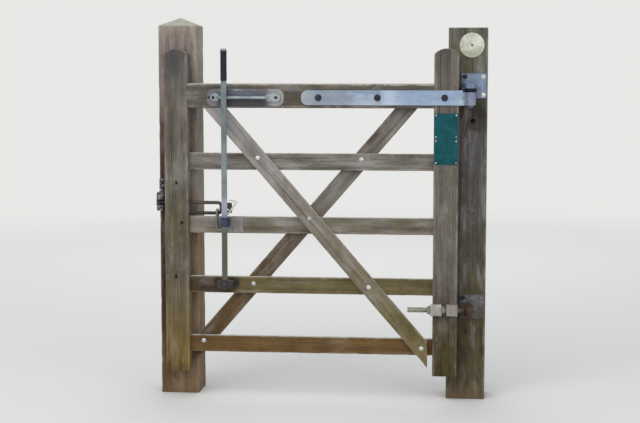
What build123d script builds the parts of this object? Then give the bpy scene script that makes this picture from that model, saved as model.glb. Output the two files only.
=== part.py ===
"""Timber hand gate with a rider's lever latch, hung on the faces of two square timber posts.

Millimetres. X runs along the gate, with the hinge post at 0 and the latch post towards -X.
Y runs away from the side that the leaf opens to, and Z runs up from the ground.
"""

import os
from math import atan2, degrees

from build123d import *

# Posts
post_side = 160.0
hinge_post_rise = 225.0
latch_post_shoulder = 1535.0
latch_post_cap_rise = 35.0
post_arris = 4.0

# Leaf: two stiles, a deep top rail and four boards
leaf_width = 1200.0
hang_gap = 18.0
latch_overlap = 122.0
stile_width = 100.0
stile_thickness = 70.0
stile_foot = 110.0
stile_top = 1440.0
stile_arch_rise = 24.0
stile_arris = 3.0
top_rail_depth = 100.0
top_rail_top = 1300.0
top_rail_chamfer = 9.0
board_depth = 70.0
board_thickness = 22.0
board_bottoms = {
    "second_rail": 947.0,
    "middle_rail": 686.0,
    "fourth_rail": 438.0,
    "bottom_rail": 191.0,
}
tenon_length = 55.0
tenon_shoulder = 10.0
bolt_recess_radius = 6.0
bolt_recess_depth = 12.0
bolt_recess_heights = (506.0, 730.0, 894.0)
bolt_recess_insets = (46.0, 72.0, 50.0)

# Braces
brace_width = 70.0
brace_thickness = 22.0
brace_top_inset = 112.0
brace_foot_inset = 15.0
brace_end_gap = 20.0
brace_tip = 145.0

# Hinges
pin_offset = 11.0
heel_to_pin = 46.0
pin_radius = 11.0
pin_play = 0.3
pin_bend = 16.0
pin_reach = 10.0
hook_plate_side = 100.0
hook_plate_thickness = 6.0
hook_plate_offset = 13.5
lug_plate_width = 50.0
lug_plate_thickness = 18.0
bush_radius = 24.0
bush_height = 16.0
bush_play = 0.3
strap_height = 60.0
strap_drop = 57.0
strap_thickness = 6.0
strap_head_gap = 565.0
strap_end_round = 26.0
strap_nose_radius = 4.0
strap_eye_step = 8.0
strap_eye_start = 14.0
eye_wall = 10.0
lower_eye_height = 24.0
lower_eye_centre = 387.0
eye_bolt_radius = 10.0
eye_bolt_standoff = 16.5
eye_bolt_tail = 100.0
eye_bolt_bend = 14.0
clamp_width = 46.0
clamp_height = 46.0
clamp_depth = 31.0
clamp_spacing = 64.0
clamp_edge_lap = 8.0
nut_width = 30.0
nut_thickness = 12.0

# Lever and the rod that it runs along
lever_inset = 155.0
lever_width = 22.0
lever_thickness = 8.0
lever_play = 0.3
lever_reach = 197.0
lever_travel = 135.0
pivot_rise = 10.0
pivot_radius = 7.0
pivot_boss_radius = 15.0
pivot_foot_length = 98.0
pivot_foot_height = 34.0
pivot_foot_thickness = 5.0
pivot_cheek_length = 64.0
pivot_cheek_thickness = 4.0
pivot_cheek_gap = 1.0
pivot_spacer_width = 8.0
pivot_head_radius = 13.0
pivot_head_thickness = 6.0
grip_length = 128.0
grip_width = 26.0
grip_depth = 22.0
guide_drop = 57.0
guide_rod_radius = 6.0
guide_rod_gap = 14.0
guide_rod_lead = 16.0
guide_rod_run = 160.0
guide_bend = 10.0
guide_ear_height = 32.0
guide_ear_lengths = (38.0, 60.0)
guide_ear_thickness = 6.0
guide_ear_inset = 14.0
guide_backplate_height = 70.0
guide_backplate_length = 316.0
guide_backplate_lead = 76.0
guide_backplate_round = 28.0
guide_backplate_thickness = 3.0
lug_width = 16.0
lug_wall = 4.0
lug_clearance = 3.0
collar_side = 33.0
collar_height = 36.0
collar_lip = 4.0
collar_wear_gap = 5.0
wear_plate_length = 84.0
wear_plate_thickness = 3.0
hook_radius = 4.0
hook_reach = 42.0
hook_rise = 52.0

# Bolt, its guide and the catch
bolt_radius = 7.0
bolt_play = 0.4
bolt_rise = 12.0
bolt_loop_height = 43.0
bolt_loop_bend = 14.0
bolt_loop_offset = 25.0
bolt_throw = 27.0
bolt_guide_leg_depth = 65.0
drive_pin_radius = 6.0
drive_slot_play = 0.7
drive_slot_fall = 4.7
yoke_thickness = 6.0
yoke_rim = 13.0
staple_radius = 4.5
staple_bend = 8.0
staple_drop = 56.0
staple_back_drop = 30.0
staple_curl = 19.0
staple_head_gap = 3.0
catch_plate_thickness = 5.0
catch_leaf_gap = 6.0
catch_jaw_gap = 5.0
catch_upper_height = 80.0
catch_lower_height = 22.0
catch_jaw_thickness = 28.0
catch_reach = 66.0
catch_stop_gap = 7.0
catch_tooth_gap = 6.0
catch_tooth_depth = 7.0

# Plates that carry the waymark and the notices
disc_radius = 50.0
disc_thickness = 4.0
disc_offset = 15.0
disc_drop = 71.0
notice_width = 96.0
notice_height = 102.0
notice_thickness = 2.0
notice_round = 7.0
notice_gap = 2.0
notice_drop = 119.0

# Places that follow from the sizes above
hinge_post_height = top_rail_top + hinge_post_rise
post_front = -post_side / 2
leaf_back = post_front - hang_gap
leaf_middle = leaf_back - stile_thickness / 2
leaf_front = leaf_back - stile_thickness
board_front = leaf_middle - board_thickness / 2
board_back = leaf_middle + board_thickness / 2
pin_x = pin_offset
heel_edge = pin_x - heel_to_pin
heel_inner = heel_edge - stile_width
head_edge = heel_edge - leaf_width
head_inner = head_edge + stile_width
leaf_centre = (head_edge + heel_edge) / 2
latch_post_x = head_edge + latch_overlap - post_side / 2
latch_post_left = latch_post_x - post_side / 2
top_rail_bottom = top_rail_top - top_rail_depth
disc_height = hinge_post_height - disc_drop
guide_height = top_rail_top - guide_drop
lever_top = guide_height + lever_reach
strap_centre = top_rail_top - strap_drop
notice_top = top_rail_top - notice_drop
hook_plate_x = pin_x + hook_plate_offset
eye_bore = pin_radius + pin_play
eye_outer = eye_bore + eye_wall
strap_bottom = strap_centre - strap_height / 2
strap_top = strap_centre + strap_height / 2
strap_eye_top = strap_top - strap_eye_step
lower_eye_bottom = lower_eye_centre - lower_eye_height / 2
lower_eye_top = lower_eye_centre + lower_eye_height / 2

lever_x = head_inner + lever_inset
pivot_z = board_bottoms["fourth_rail"] + board_depth / 2 + pivot_rise
middle_rail_top = board_bottoms["middle_rail"] + board_depth
bolt_low_z = middle_rail_top + bolt_rise
bolt_high_z = bolt_low_z + bolt_loop_height
drive_z = (bolt_low_z + bolt_high_z) / 2
guide_plate_front = leaf_front - guide_backplate_thickness
guide_rod_y = guide_plate_front - guide_rod_gap - guide_rod_radius
lever_back = guide_rod_y - guide_rod_radius - lug_clearance
lever_front = lever_back - lever_thickness
cheek_back = lever_front - pivot_cheek_gap
cheek_front = cheek_back - pivot_cheek_thickness
loop_x = lever_x - bolt_loop_offset
bolt_tip_x = head_edge - bolt_throw


def block(x, y, z):
    """A square-edged block between a low and a high value on each axis."""
    size = [high - low for low, high in (x, y, z)]
    centre = [(low + high) / 2 for low, high in (x, y, z)]
    return Pos(*centre) * Box(*size)


def seen_from_front(outline, back, thickness):
    """An outline drawn in X and Z, given a thickness towards the front from the plane y = back."""
    return extrude(Plane.XZ.offset(-back) * outline, amount=thickness)


def cylinder_along_y(x, z, radius, front, back):
    """A round bar between two planes of Y."""
    return seen_from_front(Pos(x, z) * Circle(radius), back, back - front)


def bent_rod(points, bend, radius):
    """Round bar along straight runs joined by bends of one radius."""
    path = FilletPolyline(*points, radius=bend)
    return sweep(Plane(origin=path @ 0, z_dir=path % 0) * Circle(radius), path=path)


def hinge_post():
    """Square sawn post with a flat top and eased edges."""
    half = post_side / 2
    post = block((-half, half), (-half, half), (0, hinge_post_height))
    edges = post.edges().filter_by(Axis.Z) + post.faces().sort_by(Axis.Z)[-1].edges()
    return chamfer(edges, post_arris)


def latch_post():
    """Square sawn post whose top is weathered four ways to a low point."""
    half = post_side / 2
    apex = latch_post_shoulder + latch_post_cap_rise
    foot = [(-half, 0), (half, 0)]
    head = [(half, latch_post_shoulder), (0, apex), (-half, latch_post_shoulder)]
    gable = make_face(Polyline(*foot, *head, close=True))
    along_y = seen_from_front(gable, half, post_side)
    post = along_y & Rot(0, 0, 90) * along_y
    uprights = [edge for edge in post.edges().filter_by(Axis.Z) if edge.length > half]
    return Pos(latch_post_x, 0, 0) * chamfer(uprights, post_arris)


def rail_tenon(bottom, depth, direction):
    """The tenon at one end of a rail, in the stile at -X (direction -1) or +X (direction 1)."""
    shoulder = head_inner if direction < 0 else heel_inner
    x = sorted((shoulder, shoulder + direction * tenon_length))
    return block(x, (board_front, board_back), (bottom, bottom + depth))


def stile(left, direction):
    """An upright with an arched top, mortised for every rail on its inner side."""
    right = left + stile_width
    spring = stile_top - stile_arch_rise
    middle = (left + right) / 2
    outline = make_face(
        Polyline((left, spring), (left, stile_foot), (right, stile_foot), (right, spring))
        + ThreePointArc((right, spring), (middle, stile_top), (left, spring))
    )
    upright = seen_from_front(outline, leaf_back, stile_thickness)
    corners = [edge for edge in upright.edges().filter_by(Axis.Z) if edge.length > stile_width]
    upright = chamfer(corners, stile_arris)
    tenon_depth = top_rail_depth - 2 * tenon_shoulder
    upright -= rail_tenon(top_rail_bottom + tenon_shoulder, tenon_depth, direction)
    for bottom in board_bottoms.values():
        upright -= rail_tenon(bottom, board_depth, direction)
    return upright


def heel_stile():
    """The upright that carries the hinges."""
    return stile(heel_inner, 1)


def head_stile():
    """The upright that closes over the latch post, bored for the bolt and its guide leg."""
    upright = stile(head_edge, -1)
    bore = bolt_radius + bolt_play
    bolt_bore = Plane.YZ.offset(head_edge) * Pos(leaf_middle, bolt_high_z) * Circle(bore)
    upright -= extrude(bolt_bore, amount=stile_width)
    leg_start = head_inner - bolt_guide_leg_depth - bolt_play
    leg_bore = Plane.YZ.offset(leg_start) * Pos(leaf_middle, bolt_low_z) * Circle(bore)
    upright -= extrude(leg_bore, amount=head_inner - leg_start)
    recess_back = leaf_front + bolt_recess_depth
    for inset, height in zip(bolt_recess_insets, bolt_recess_heights):
        upright -= cylinder_along_y(head_edge + inset, height, bolt_recess_radius, leaf_front, recess_back)
    return upright


def top_rail():
    """Deep top rail, as thick as the stiles, with its upper edges chamfered to shed rain."""
    rail = block((head_inner, heel_inner), (leaf_front, leaf_back), (top_rail_bottom, top_rail_top))
    rail = chamfer(rail.faces().sort_by(Axis.Z)[-1].edges().filter_by(Axis.X), top_rail_chamfer)
    tenon_depth = top_rail_depth - 2 * tenon_shoulder
    for direction in (-1, 1):
        rail += rail_tenon(top_rail_bottom + tenon_shoulder, tenon_depth, direction)
    return rail


def board_rail(bottom):
    """A thin lower rail whose ends are housed in the stiles."""
    x = (head_inner - tenon_length, heel_inner + tenon_length)
    return block(x, (board_front, board_back), (bottom, bottom + board_depth))


def brace(back, top_at_head):
    """A diagonal board, cut level under the top rail and upright beside the stile at its foot."""
    top = Vector(head_inner + brace_top_inset, top_rail_bottom)
    foot = Vector(heel_inner - brace_foot_inset, board_bottoms["bottom_rail"])
    along = foot - top
    middle = (top + foot) * 0.5
    slope = degrees(atan2(along.Y, along.X))
    length = along.length + 4 * brace_width
    outline = Pos(middle.X, middle.Y) * Rot(0, 0, slope) * Rectangle(length, brace_width)
    board = seen_from_front(outline, back, brace_thickness)
    limits = block(
        (head_inner + brace_end_gap, heel_inner - brace_end_gap),
        (back - brace_thickness, back),
        (brace_tip, top_rail_bottom),
    )
    board &= limits
    if not top_at_head:
        board = board.mirror(Plane.YZ.offset(leaf_centre))
    return board


def top_strap():
    """Flat bar folded round the heel stile and the top rail, with a forged eye for the pin."""
    left = head_edge + strap_head_gap
    bend = heel_edge
    front = leaf_front - strap_thickness
    back = leaf_back + strap_thickness

    def folded(y_low, y_high, nose_x, nose_radius):
        straight = Pos((left + bend) / 2, (y_low + y_high) / 2) * Rectangle(bend - left, y_high - y_low)
        nose = Pos(nose_x, leaf_middle) * Circle(nose_radius)
        return make_hull(straight.edges() + nose.edges())

    nose_x = pin_x - eye_outer - strap_nose_radius
    plan = folded(front, back, pin_x, eye_outer) - folded(leaf_front, leaf_back, nose_x, strap_nose_radius)
    plan -= Pos(pin_x, leaf_middle) * Circle(eye_bore)
    strap = extrude(Plane.XY.offset(strap_bottom) * plan, amount=strap_height)
    strap -= block(
        (heel_edge + strap_eye_start, pin_x + 2 * eye_outer),
        (front - eye_outer, back + eye_outer),
        (strap_eye_top, strap_top),
    )
    ends = strap.faces().filter_by(Axis.X).group_by(Axis.X)[0]
    corners = [edge for face in ends for edge in face.edges().filter_by(Axis.Y)]
    return fillet(corners, strap_end_round)


def hook_plate(centre_z):
    """Square plate on the hinge post's face."""
    half = hook_plate_side / 2
    return block(
        (hook_plate_x - half, hook_plate_x + half),
        (post_front - hook_plate_thickness, post_front),
        (centre_z - half, centre_z + half),
    )


top_lug_bottom = strap_eye_top + bush_play + bush_height
top_lug_z = top_lug_bottom + lug_plate_thickness / 2
bottom_hook_z = lower_eye_bottom - pin_play - pin_bend
bottom_plate_z = lower_eye_centre


def top_hook_plate():
    """The upper plate with the thick lug welded across its middle, round at its nose."""
    half = lug_plate_width / 2
    nose = Pos(pin_x, leaf_middle) * Circle(half)
    root = (post_front - hook_plate_thickness + leaf_middle) / 2
    shank = Pos(pin_x, root) * Rectangle(lug_plate_width, post_front - hook_plate_thickness - leaf_middle)
    lug = extrude(Plane.XY.offset(top_lug_bottom) * (nose + shank), amount=lug_plate_thickness)
    return hook_plate(top_lug_z) + lug


def top_hook_pin():
    """Straight pin welded under the lug, standing down through the bush and the eye."""
    low = strap_bottom - pin_reach
    pin = Pos(pin_x, leaf_middle, (low + top_lug_bottom) / 2) * Cylinder(pin_radius, top_lug_bottom - low)
    return chamfer(pin.faces().sort_by(Axis.Z)[0].edges(), pin_radius / 4)


def top_hook_bush():
    """Thick dark bush on the pin that spaces the eye from the lug."""
    middle = Pos(pin_x, leaf_middle, top_lug_bottom - bush_height / 2)
    ring = middle * Cylinder(bush_radius, bush_height) - middle * Cylinder(pin_radius, 2 * bush_height)
    return fillet(ring.edges().group_by(Axis.Z)[0].sort_by(SortBy.RADIUS)[-1], bush_height / 6)


def bottom_hook_pin():
    """Round bar welded to its plate, bent once to stand up in the eye."""
    start = post_front - hook_plate_thickness
    top = lower_eye_top + pin_reach
    points = [(pin_x, start, bottom_hook_z), (pin_x, leaf_middle, bottom_hook_z), (pin_x, leaf_middle, top)]
    pin = bent_rod(points, pin_bend, pin_radius)
    return chamfer(pin.faces().sort_by(Axis.Z)[-1].edges(), pin_radius / 4)


def bottom_eye_bolt():
    """Adjustable lower hinge: a cranked bolt across the stile with a forged eye at its end."""
    rod_y = leaf_front - eye_bolt_standoff
    tail = heel_inner - eye_bolt_tail
    neck = pin_x - eye_outer + eye_wall / 2
    crank = heel_edge + stile_arris + eye_bolt_radius
    points = [
        (tail, rod_y, lower_eye_centre),
        (crank, rod_y, lower_eye_centre),
        (neck, leaf_middle, lower_eye_centre),
    ]
    rod = bent_rod(points, eye_bolt_bend, eye_bolt_radius)
    ring = Pos(pin_x, leaf_middle, lower_eye_centre) * Cylinder(eye_outer, lower_eye_height)
    bore = Pos(pin_x, leaf_middle, lower_eye_centre) * Cylinder(eye_bore, 2 * lower_eye_height)
    return rod + ring - bore


def clamp_centres():
    """Where the two clamp blocks sit on the heel stile, the outer one lapping its edge."""
    first = heel_inner - clamp_edge_lap + clamp_width / 2
    return (first, first + clamp_spacing)


def bottom_clamp_blocks():
    """Two square blocks on the stile's face that hold the eye bolt."""
    hole = eye_bolt_radius
    rod_y = leaf_front - eye_bolt_standoff
    blocks = []
    for x in clamp_centres():
        half_width = clamp_width / 2
        half_height = clamp_height / 2
        clamp = block(
            (x - half_width, x + half_width),
            (leaf_front - clamp_depth, leaf_front),
            (lower_eye_centre - half_height, lower_eye_centre + half_height),
        )
        clamp = chamfer(clamp.faces().sort_by(Axis.Y)[0].edges(), 2)
        bore = Plane.YZ.offset(x - clamp_width) * Pos(rod_y, lower_eye_centre) * Circle(hole)
        blocks.append(clamp - extrude(bore, amount=2 * clamp_width))
    return Compound(children=blocks)


def bottom_eye_nuts():
    """A hexagon nut on the eye bolt's thread at each side of the outer clamp block."""
    rod_y = leaf_front - eye_bolt_standoff
    outer_clamp = clamp_centres()[0]
    starts = (outer_clamp - clamp_width / 2 - nut_thickness, outer_clamp + clamp_width / 2)
    nuts = []
    for x in starts:
        ring = RegularPolygon(nut_width / 2, 6, major_radius=False, rotation=30) - Circle(eye_bolt_radius)
        nuts.append(extrude(Plane.YZ.offset(x) * Pos(rod_y, lower_eye_centre) * ring, amount=nut_thickness))
    return Compound(children=nuts)


def guide_backplate():
    """Long thin plate with rounded ends on the top rail, behind the lever's path."""
    left = lever_x - guide_backplate_lead
    place = Pos(left + guide_backplate_length / 2, guide_height)
    outline = RectangleRounded(guide_backplate_length, guide_backplate_height, guide_backplate_round)
    return seen_from_front(place * outline, leaf_front, guide_backplate_thickness)


def guide_rod():
    """Round bar that the lever runs along, cranked back at both ends to flat ears on its plate."""
    crank = guide_plate_front - guide_rod_y
    left = lever_x - guide_rod_lead
    right = lever_x + guide_rod_run
    root = crank + 2 * guide_rod_radius
    points = [
        (left - root, guide_rod_y + root, guide_height),
        (left, guide_rod_y, guide_height),
        (right, guide_rod_y, guide_height),
        (right + root, guide_rod_y + root, guide_height),
    ]
    rod = bent_rod(points, guide_bend, guide_rod_radius)
    rod -= block(
        (left - 2 * root, right + 2 * root),
        (guide_plate_front, guide_plate_front + 2 * root),
        (guide_height - root, guide_height + root),
    )
    roots = ((left - crank, -1), (right + crank, 1))
    for (x, outward), length in zip(roots, guide_ear_lengths):
        middle = x + outward * (length / 2 - guide_ear_inset)
        ear = Pos(middle, guide_height) * SlotOverall(length, guide_ear_height)
        rod += seen_from_front(ear, guide_plate_front, guide_ear_thickness)
    return rod


def lever_pivot_bracket():
    """Clevis on the fourth rail: a foot plate, a boss behind the lever and a cheek in front of it."""
    half_length = pivot_foot_length / 2
    half_height = pivot_foot_height / 2
    heights = (pivot_z - half_height, pivot_z + half_height)
    foot = block(
        (lever_x - half_length, lever_x + half_length),
        (board_front - pivot_foot_thickness, board_front),
        heights,
    )
    foot = fillet(foot.edges().filter_by(Axis.Y), pivot_foot_height / 4)
    boss = cylinder_along_y(lever_x, pivot_z, pivot_boss_radius, lever_back + lever_play, board_front)
    half_cheek = pivot_cheek_length / 2
    cheek = block((lever_x - half_cheek, lever_x + half_cheek), (cheek_front, cheek_back), heights)
    cheek = fillet(cheek.edges().filter_by(Axis.Y), pivot_foot_height / 4)
    bracket = foot + boss + cheek
    spacer_heights = (pivot_z - half_height / 2, pivot_z + half_height / 2)
    for side in (-1, 1):
        ends = (lever_x + side * half_cheek, lever_x + side * (half_cheek - pivot_spacer_width))
        bracket += block(sorted(ends), (cheek_back, board_front), spacer_heights)
    return bracket - cylinder_along_y(lever_x, pivot_z, pivot_radius, cheek_front, board_front)


def lever_pivot_pin():
    """Shouldered pin through the lever into its bracket."""
    shank = cylinder_along_y(lever_x, pivot_z, pivot_radius, cheek_front, board_front)
    head_front = cheek_front - pivot_head_thickness
    head = cylinder_along_y(lever_x, pivot_z, pivot_head_radius, head_front, cheek_front)
    rim = head.faces().sort_by(Axis.Y)[0].edges()
    return shank + chamfer(rim, pivot_head_thickness / 3)


def lever_bar():
    """Long flat bar, round at both ends, bored for its pivot."""
    foot = pivot_z - lever_width
    top = lever_top - lever_width / 2
    outline = Pos(lever_x, (foot + top) / 2) * Rot(0, 0, 90) * SlotOverall(top - foot, lever_width)
    outline -= Pos(lever_x, pivot_z) * Circle(pivot_radius + lever_play)
    return seen_from_front(outline, lever_back, lever_thickness)


def lever_grip():
    """Moulded hand grip over the top of the bar."""
    middle_y = (lever_back + lever_front) / 2
    outline = Pos(lever_x, middle_y) * RectangleRounded(grip_width, grip_depth, grip_depth / 3)
    grip = extrude(Plane.XY.offset(lever_top - grip_length) * outline, amount=grip_length)
    grip = fillet(grip.faces().sort_by(Axis.Z)[-1].edges(), grip_depth / 4)
    return grip - lever_bar()


def lever_guide_lug():
    """Flat loop behind the bar, tall enough for the rod as the lever swings down."""
    rise = guide_height - pivot_z
    fall = rise - (rise**2 - lever_travel**2) ** 0.5
    front = lever_back
    reach = guide_rod_radius + lug_clearance
    hollow = (guide_rod_y - reach, guide_rod_y + reach)
    low = guide_height - reach
    high = guide_height + reach + fall
    x = (lever_x - lug_width / 2, lever_x + lug_width / 2)
    loop = block(x, (front, hollow[1] + lug_wall), (low - lug_wall, high + lug_wall))
    return loop - block(x, (front, hollow[1]), (low, high))


def lever_collar():
    """Block clamped round the bar that runs over the plate on the middle rail."""
    top = middle_rail_top
    back = board_front - wear_plate_thickness - collar_wear_gap
    half = collar_side / 2
    collar = block(
        (lever_x - half, lever_x + half), (lever_front - collar_lip, back), (top - collar_height, top)
    )
    collar = chamfer(collar.faces().sort_by(Axis.Y)[0].edges(), collar_lip / 2)
    return collar - lever_bar()


def lever_drive_pin():
    """Pin welded behind the bar that moves the bolt's yoke."""
    back = leaf_middle + yoke_thickness
    return cylinder_along_y(lever_x, drive_z, drive_pin_radius, lever_back, back)


def lever_hook():
    """Bent rod welded to the bar's edge, where the return spring hooks on."""
    middle_y = (lever_back + lever_front) / 2
    edge = lever_x + lever_width / 2
    points = [
        (edge, middle_y, middle_rail_top + collar_height / 4),
        (edge + hook_reach, middle_y, middle_rail_top + hook_rise + 4 * hook_radius),
        (edge + hook_radius * 2, middle_y, middle_rail_top + hook_rise + 5 * hook_radius),
    ]
    return bent_rod(points, hook_radius, hook_radius * 0.9) - lever_bar()


def lever_wear_plate():
    """Thin plate on the middle rail behind the collar's travel."""
    left = lever_x - collar_side / 2
    return block(
        (left, left + wear_plate_length),
        (board_front - wear_plate_thickness, board_front),
        (middle_rail_top - board_depth + 4, middle_rail_top),
    )


def latch_bolt():
    """Round bar bent back on itself: the long leg is the bolt, the short one its guide."""
    points = [
        (bolt_tip_x, leaf_middle, bolt_high_z),
        (loop_x, leaf_middle, bolt_high_z),
        (loop_x, leaf_middle, bolt_low_z),
        (head_inner - bolt_guide_leg_depth, leaf_middle, bolt_low_z),
    ]
    bolt = bent_rod(points, bolt_loop_bend, bolt_radius)
    tip = bolt.faces().sort_by(Axis.X)[0]
    return chamfer(tip.edges(), bolt_radius / 3)


def bolt_yoke():
    """Plate welded into the end of the loop, slotted for the drive pin."""
    half = bolt_loop_height / 2
    right = lever_x + drive_pin_radius + drive_slot_play + yoke_rim
    slot_radius = drive_pin_radius + drive_slot_play
    outline = Pos((loop_x + right) / 2, drive_z) * Rectangle(right - loop_x, 2 * half)
    outline = fillet(outline.vertices().group_by(Axis.X)[-1], yoke_rim / 2)
    slot = Pos(lever_x, drive_z - drive_slot_fall / 2) * Rot(0, 0, 90)
    outline -= slot * SlotOverall(drive_slot_fall + 2 * slot_radius, 2 * slot_radius)
    plate = seen_from_front(outline, leaf_middle + yoke_thickness / 2, yoke_thickness)
    return plate - latch_bolt()


def bolt_staple():
    """Round bar bent over the middle rail and the guide leg, curled aside at its front foot."""
    x = loop_x - bolt_radius - 2 * staple_radius
    front = board_front - staple_radius
    back = board_back + staple_radius
    crown = bolt_low_z + bolt_radius + staple_head_gap + staple_radius
    foot = middle_rail_top - staple_drop
    points = [
        (x, back, middle_rail_top - staple_back_drop),
        (x, back, crown),
        (x, front, crown),
        (x, front, foot),
        (x + staple_curl, front, foot),
    ]
    return bent_rod(points, staple_bend, staple_radius)


catch_right = head_edge - catch_leaf_gap
upper_jaw_z = bolt_high_z + bolt_radius + catch_jaw_gap
lower_jaw_z = bolt_high_z - bolt_radius - catch_jaw_gap
catch_plate_front = post_front - catch_plate_thickness
jaw_front = catch_plate_front - catch_reach


def latch_catch_plate():
    """Back plate of the catch on the latch post's face."""
    return block(
        (latch_post_left, catch_right),
        (catch_plate_front, post_front),
        (lower_jaw_z - catch_lower_height, upper_jaw_z + catch_upper_height),
    )


def latch_catch_jaws():
    """Two lobed jaws that stand out from the plate above and below the bolt."""
    jaws = []
    lower = (lower_jaw_z - catch_lower_height, lower_jaw_z)
    upper = (upper_jaw_z, upper_jaw_z + catch_jaw_thickness)
    for low, high in (lower, upper):
        jaw = block((latch_post_left, catch_right), (jaw_front, catch_plate_front), (low, high))
        nose = jaw.edges().filter_by(Axis.Z).group_by(Axis.Y)[0]
        jaws.append(fillet(nose, (catch_right - latch_post_left) / 3))
    return Compound(children=jaws)


def latch_catch_stop():
    """Block between the jaws that the bolt stops in front of when the leaf is shut."""
    bolt_back = leaf_middle + bolt_radius
    depth = (bolt_back + catch_stop_gap, catch_plate_front)
    return block((latch_post_left, catch_right), depth, (lower_jaw_z, upper_jaw_z))


def latch_catch_tooth():
    """Upright between the jaws' noses that the bolt springs behind."""
    x = (latch_post_left, bolt_tip_x - catch_tooth_gap)
    bolt_front = leaf_middle - bolt_radius
    return block(x, (bolt_front - catch_tooth_depth, bolt_front), (lower_jaw_z, upper_jaw_z))


def waymark_disc():
    """Thin round disc on the hinge post."""
    return cylinder_along_y(disc_offset, disc_height, disc_radius, post_front - disc_thickness, post_front)


def notice(top):
    """Thin plate with rounded corners on the heel stile."""
    centre = Pos((heel_inner + heel_edge) / 2, top - notice_height / 2)
    outline = centre * RectangleRounded(notice_width, notice_height, notice_round)
    return seen_from_front(outline, leaf_front, notice_thickness)


pieces = {
    "hinge_post": hinge_post(),
    "latch_post": latch_post(),
    "waymark_disc": waymark_disc(),
    "top_hook_plate": top_hook_plate(),
    "top_hook_pin": top_hook_pin(),
    "top_hook_bush": top_hook_bush(),
    "bottom_hook_plate": hook_plate(bottom_plate_z),
    "bottom_hook_pin": bottom_hook_pin(),
    "latch_catch_plate": latch_catch_plate(),
    "latch_catch_jaws": latch_catch_jaws(),
    "latch_catch_stop": latch_catch_stop(),
    "latch_catch_tooth": latch_catch_tooth(),
    "heel_stile": heel_stile(),
    "head_stile": head_stile(),
    "top_rail": top_rail(),
    "front_brace": brace(board_front, True),
    "rear_brace": brace(board_back + brace_thickness, False),
    "top_strap": top_strap(),
    "bottom_eye_bolt": bottom_eye_bolt(),
    "bottom_clamp_blocks": bottom_clamp_blocks(),
    "bottom_eye_nuts": bottom_eye_nuts(),
    "guide_backplate": guide_backplate(),
    "guide_rod": guide_rod(),
    "lever_pivot_bracket": lever_pivot_bracket(),
    "lever_pivot_pin": lever_pivot_pin(),
    "lever_wear_plate": lever_wear_plate(),
    "bolt_staple": bolt_staple(),
    "upper_notice": notice(notice_top),
    "lower_notice": notice(notice_top - notice_height - notice_gap),
    "lever_bar": lever_bar(),
    "lever_grip": lever_grip(),
    "lever_guide_lug": lever_guide_lug(),
    "lever_collar": lever_collar(),
    "lever_drive_pin": lever_drive_pin(),
    "lever_hook": lever_hook(),
    "latch_bolt": latch_bolt(),
    "bolt_yoke": bolt_yoke(),
}
for rail_name, rail_bottom in board_bottoms.items():
    pieces[rail_name] = board_rail(rail_bottom)

os.makedirs("parts", exist_ok=True)
for node, shape in pieces.items():
    export_step(shape, f"parts/{node}.step")
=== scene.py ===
"""Timber hand gate with a rider's lever latch: weathered surfaces, fastenings and studio.

Metres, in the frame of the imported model: X runs along the gate, the leaf opens towards -Y, Z runs up.
"""

import math

import bpy
import numpy as np
from mathutils import Matrix, Vector


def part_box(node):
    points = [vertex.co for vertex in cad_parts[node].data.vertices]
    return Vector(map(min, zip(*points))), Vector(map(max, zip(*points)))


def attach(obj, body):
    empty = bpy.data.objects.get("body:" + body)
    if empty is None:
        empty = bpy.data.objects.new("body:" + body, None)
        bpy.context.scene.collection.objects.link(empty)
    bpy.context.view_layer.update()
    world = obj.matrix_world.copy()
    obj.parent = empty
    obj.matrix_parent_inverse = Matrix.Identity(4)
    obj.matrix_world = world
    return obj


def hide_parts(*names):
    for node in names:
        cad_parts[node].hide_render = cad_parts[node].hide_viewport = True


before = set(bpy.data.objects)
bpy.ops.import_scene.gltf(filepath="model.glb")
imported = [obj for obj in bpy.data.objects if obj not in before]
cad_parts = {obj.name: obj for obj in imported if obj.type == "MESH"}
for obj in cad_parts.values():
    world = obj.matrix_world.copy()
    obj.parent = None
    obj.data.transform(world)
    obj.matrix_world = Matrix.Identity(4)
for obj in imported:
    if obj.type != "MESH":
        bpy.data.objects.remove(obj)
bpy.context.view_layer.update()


# Hinge post. A 160 mm sawn softwood post, pressure treated and left out to weather, with a flat top.
# It stands in the ground and carries the leaf. Algae has turned its head olive, and the sun has
# split its faces along the grain.


def drift(x, y, seed):
    """A smooth random field from -1 to 1, where x and y count its cells."""
    cells = 256
    lattice = np.random.default_rng(seed).uniform(-1, 1, (cells + 1, cells + 1))
    column, row = np.floor(x).astype(int), np.floor(y).astype(int)
    right, up = x - column, y - row
    right, up = right * right * (3 - 2 * right), up * up * (3 - 2 * up)
    column, row = column % cells, row % cells
    low = lattice[column, row] * (1 - right) + lattice[column + 1, row] * right
    high = lattice[column, row + 1] * (1 - right) + lattice[column + 1, row + 1] * right
    return low * (1 - up) + high * up


def drying_checks(seed, faces, length, count, widest, deepest, longest=0.7):
    """Splits along the grain as (face, place across it, start, end, half width, depth)."""
    random = np.random.default_rng(seed)
    made = []
    for face in faces:
        for place in range(count):
            run = length * random.uniform(0.2, longest)
            start = random.uniform(-0.1 * length, 1.1 * length - run)
            across = (place + random.uniform(0.25, 0.75)) / count * 1.7 - 0.85
            scale = random.uniform(0.4, 1.0)
            made.append((face, across, start, start + run, widest * scale / 2, deepest * scale))
    return made


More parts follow.
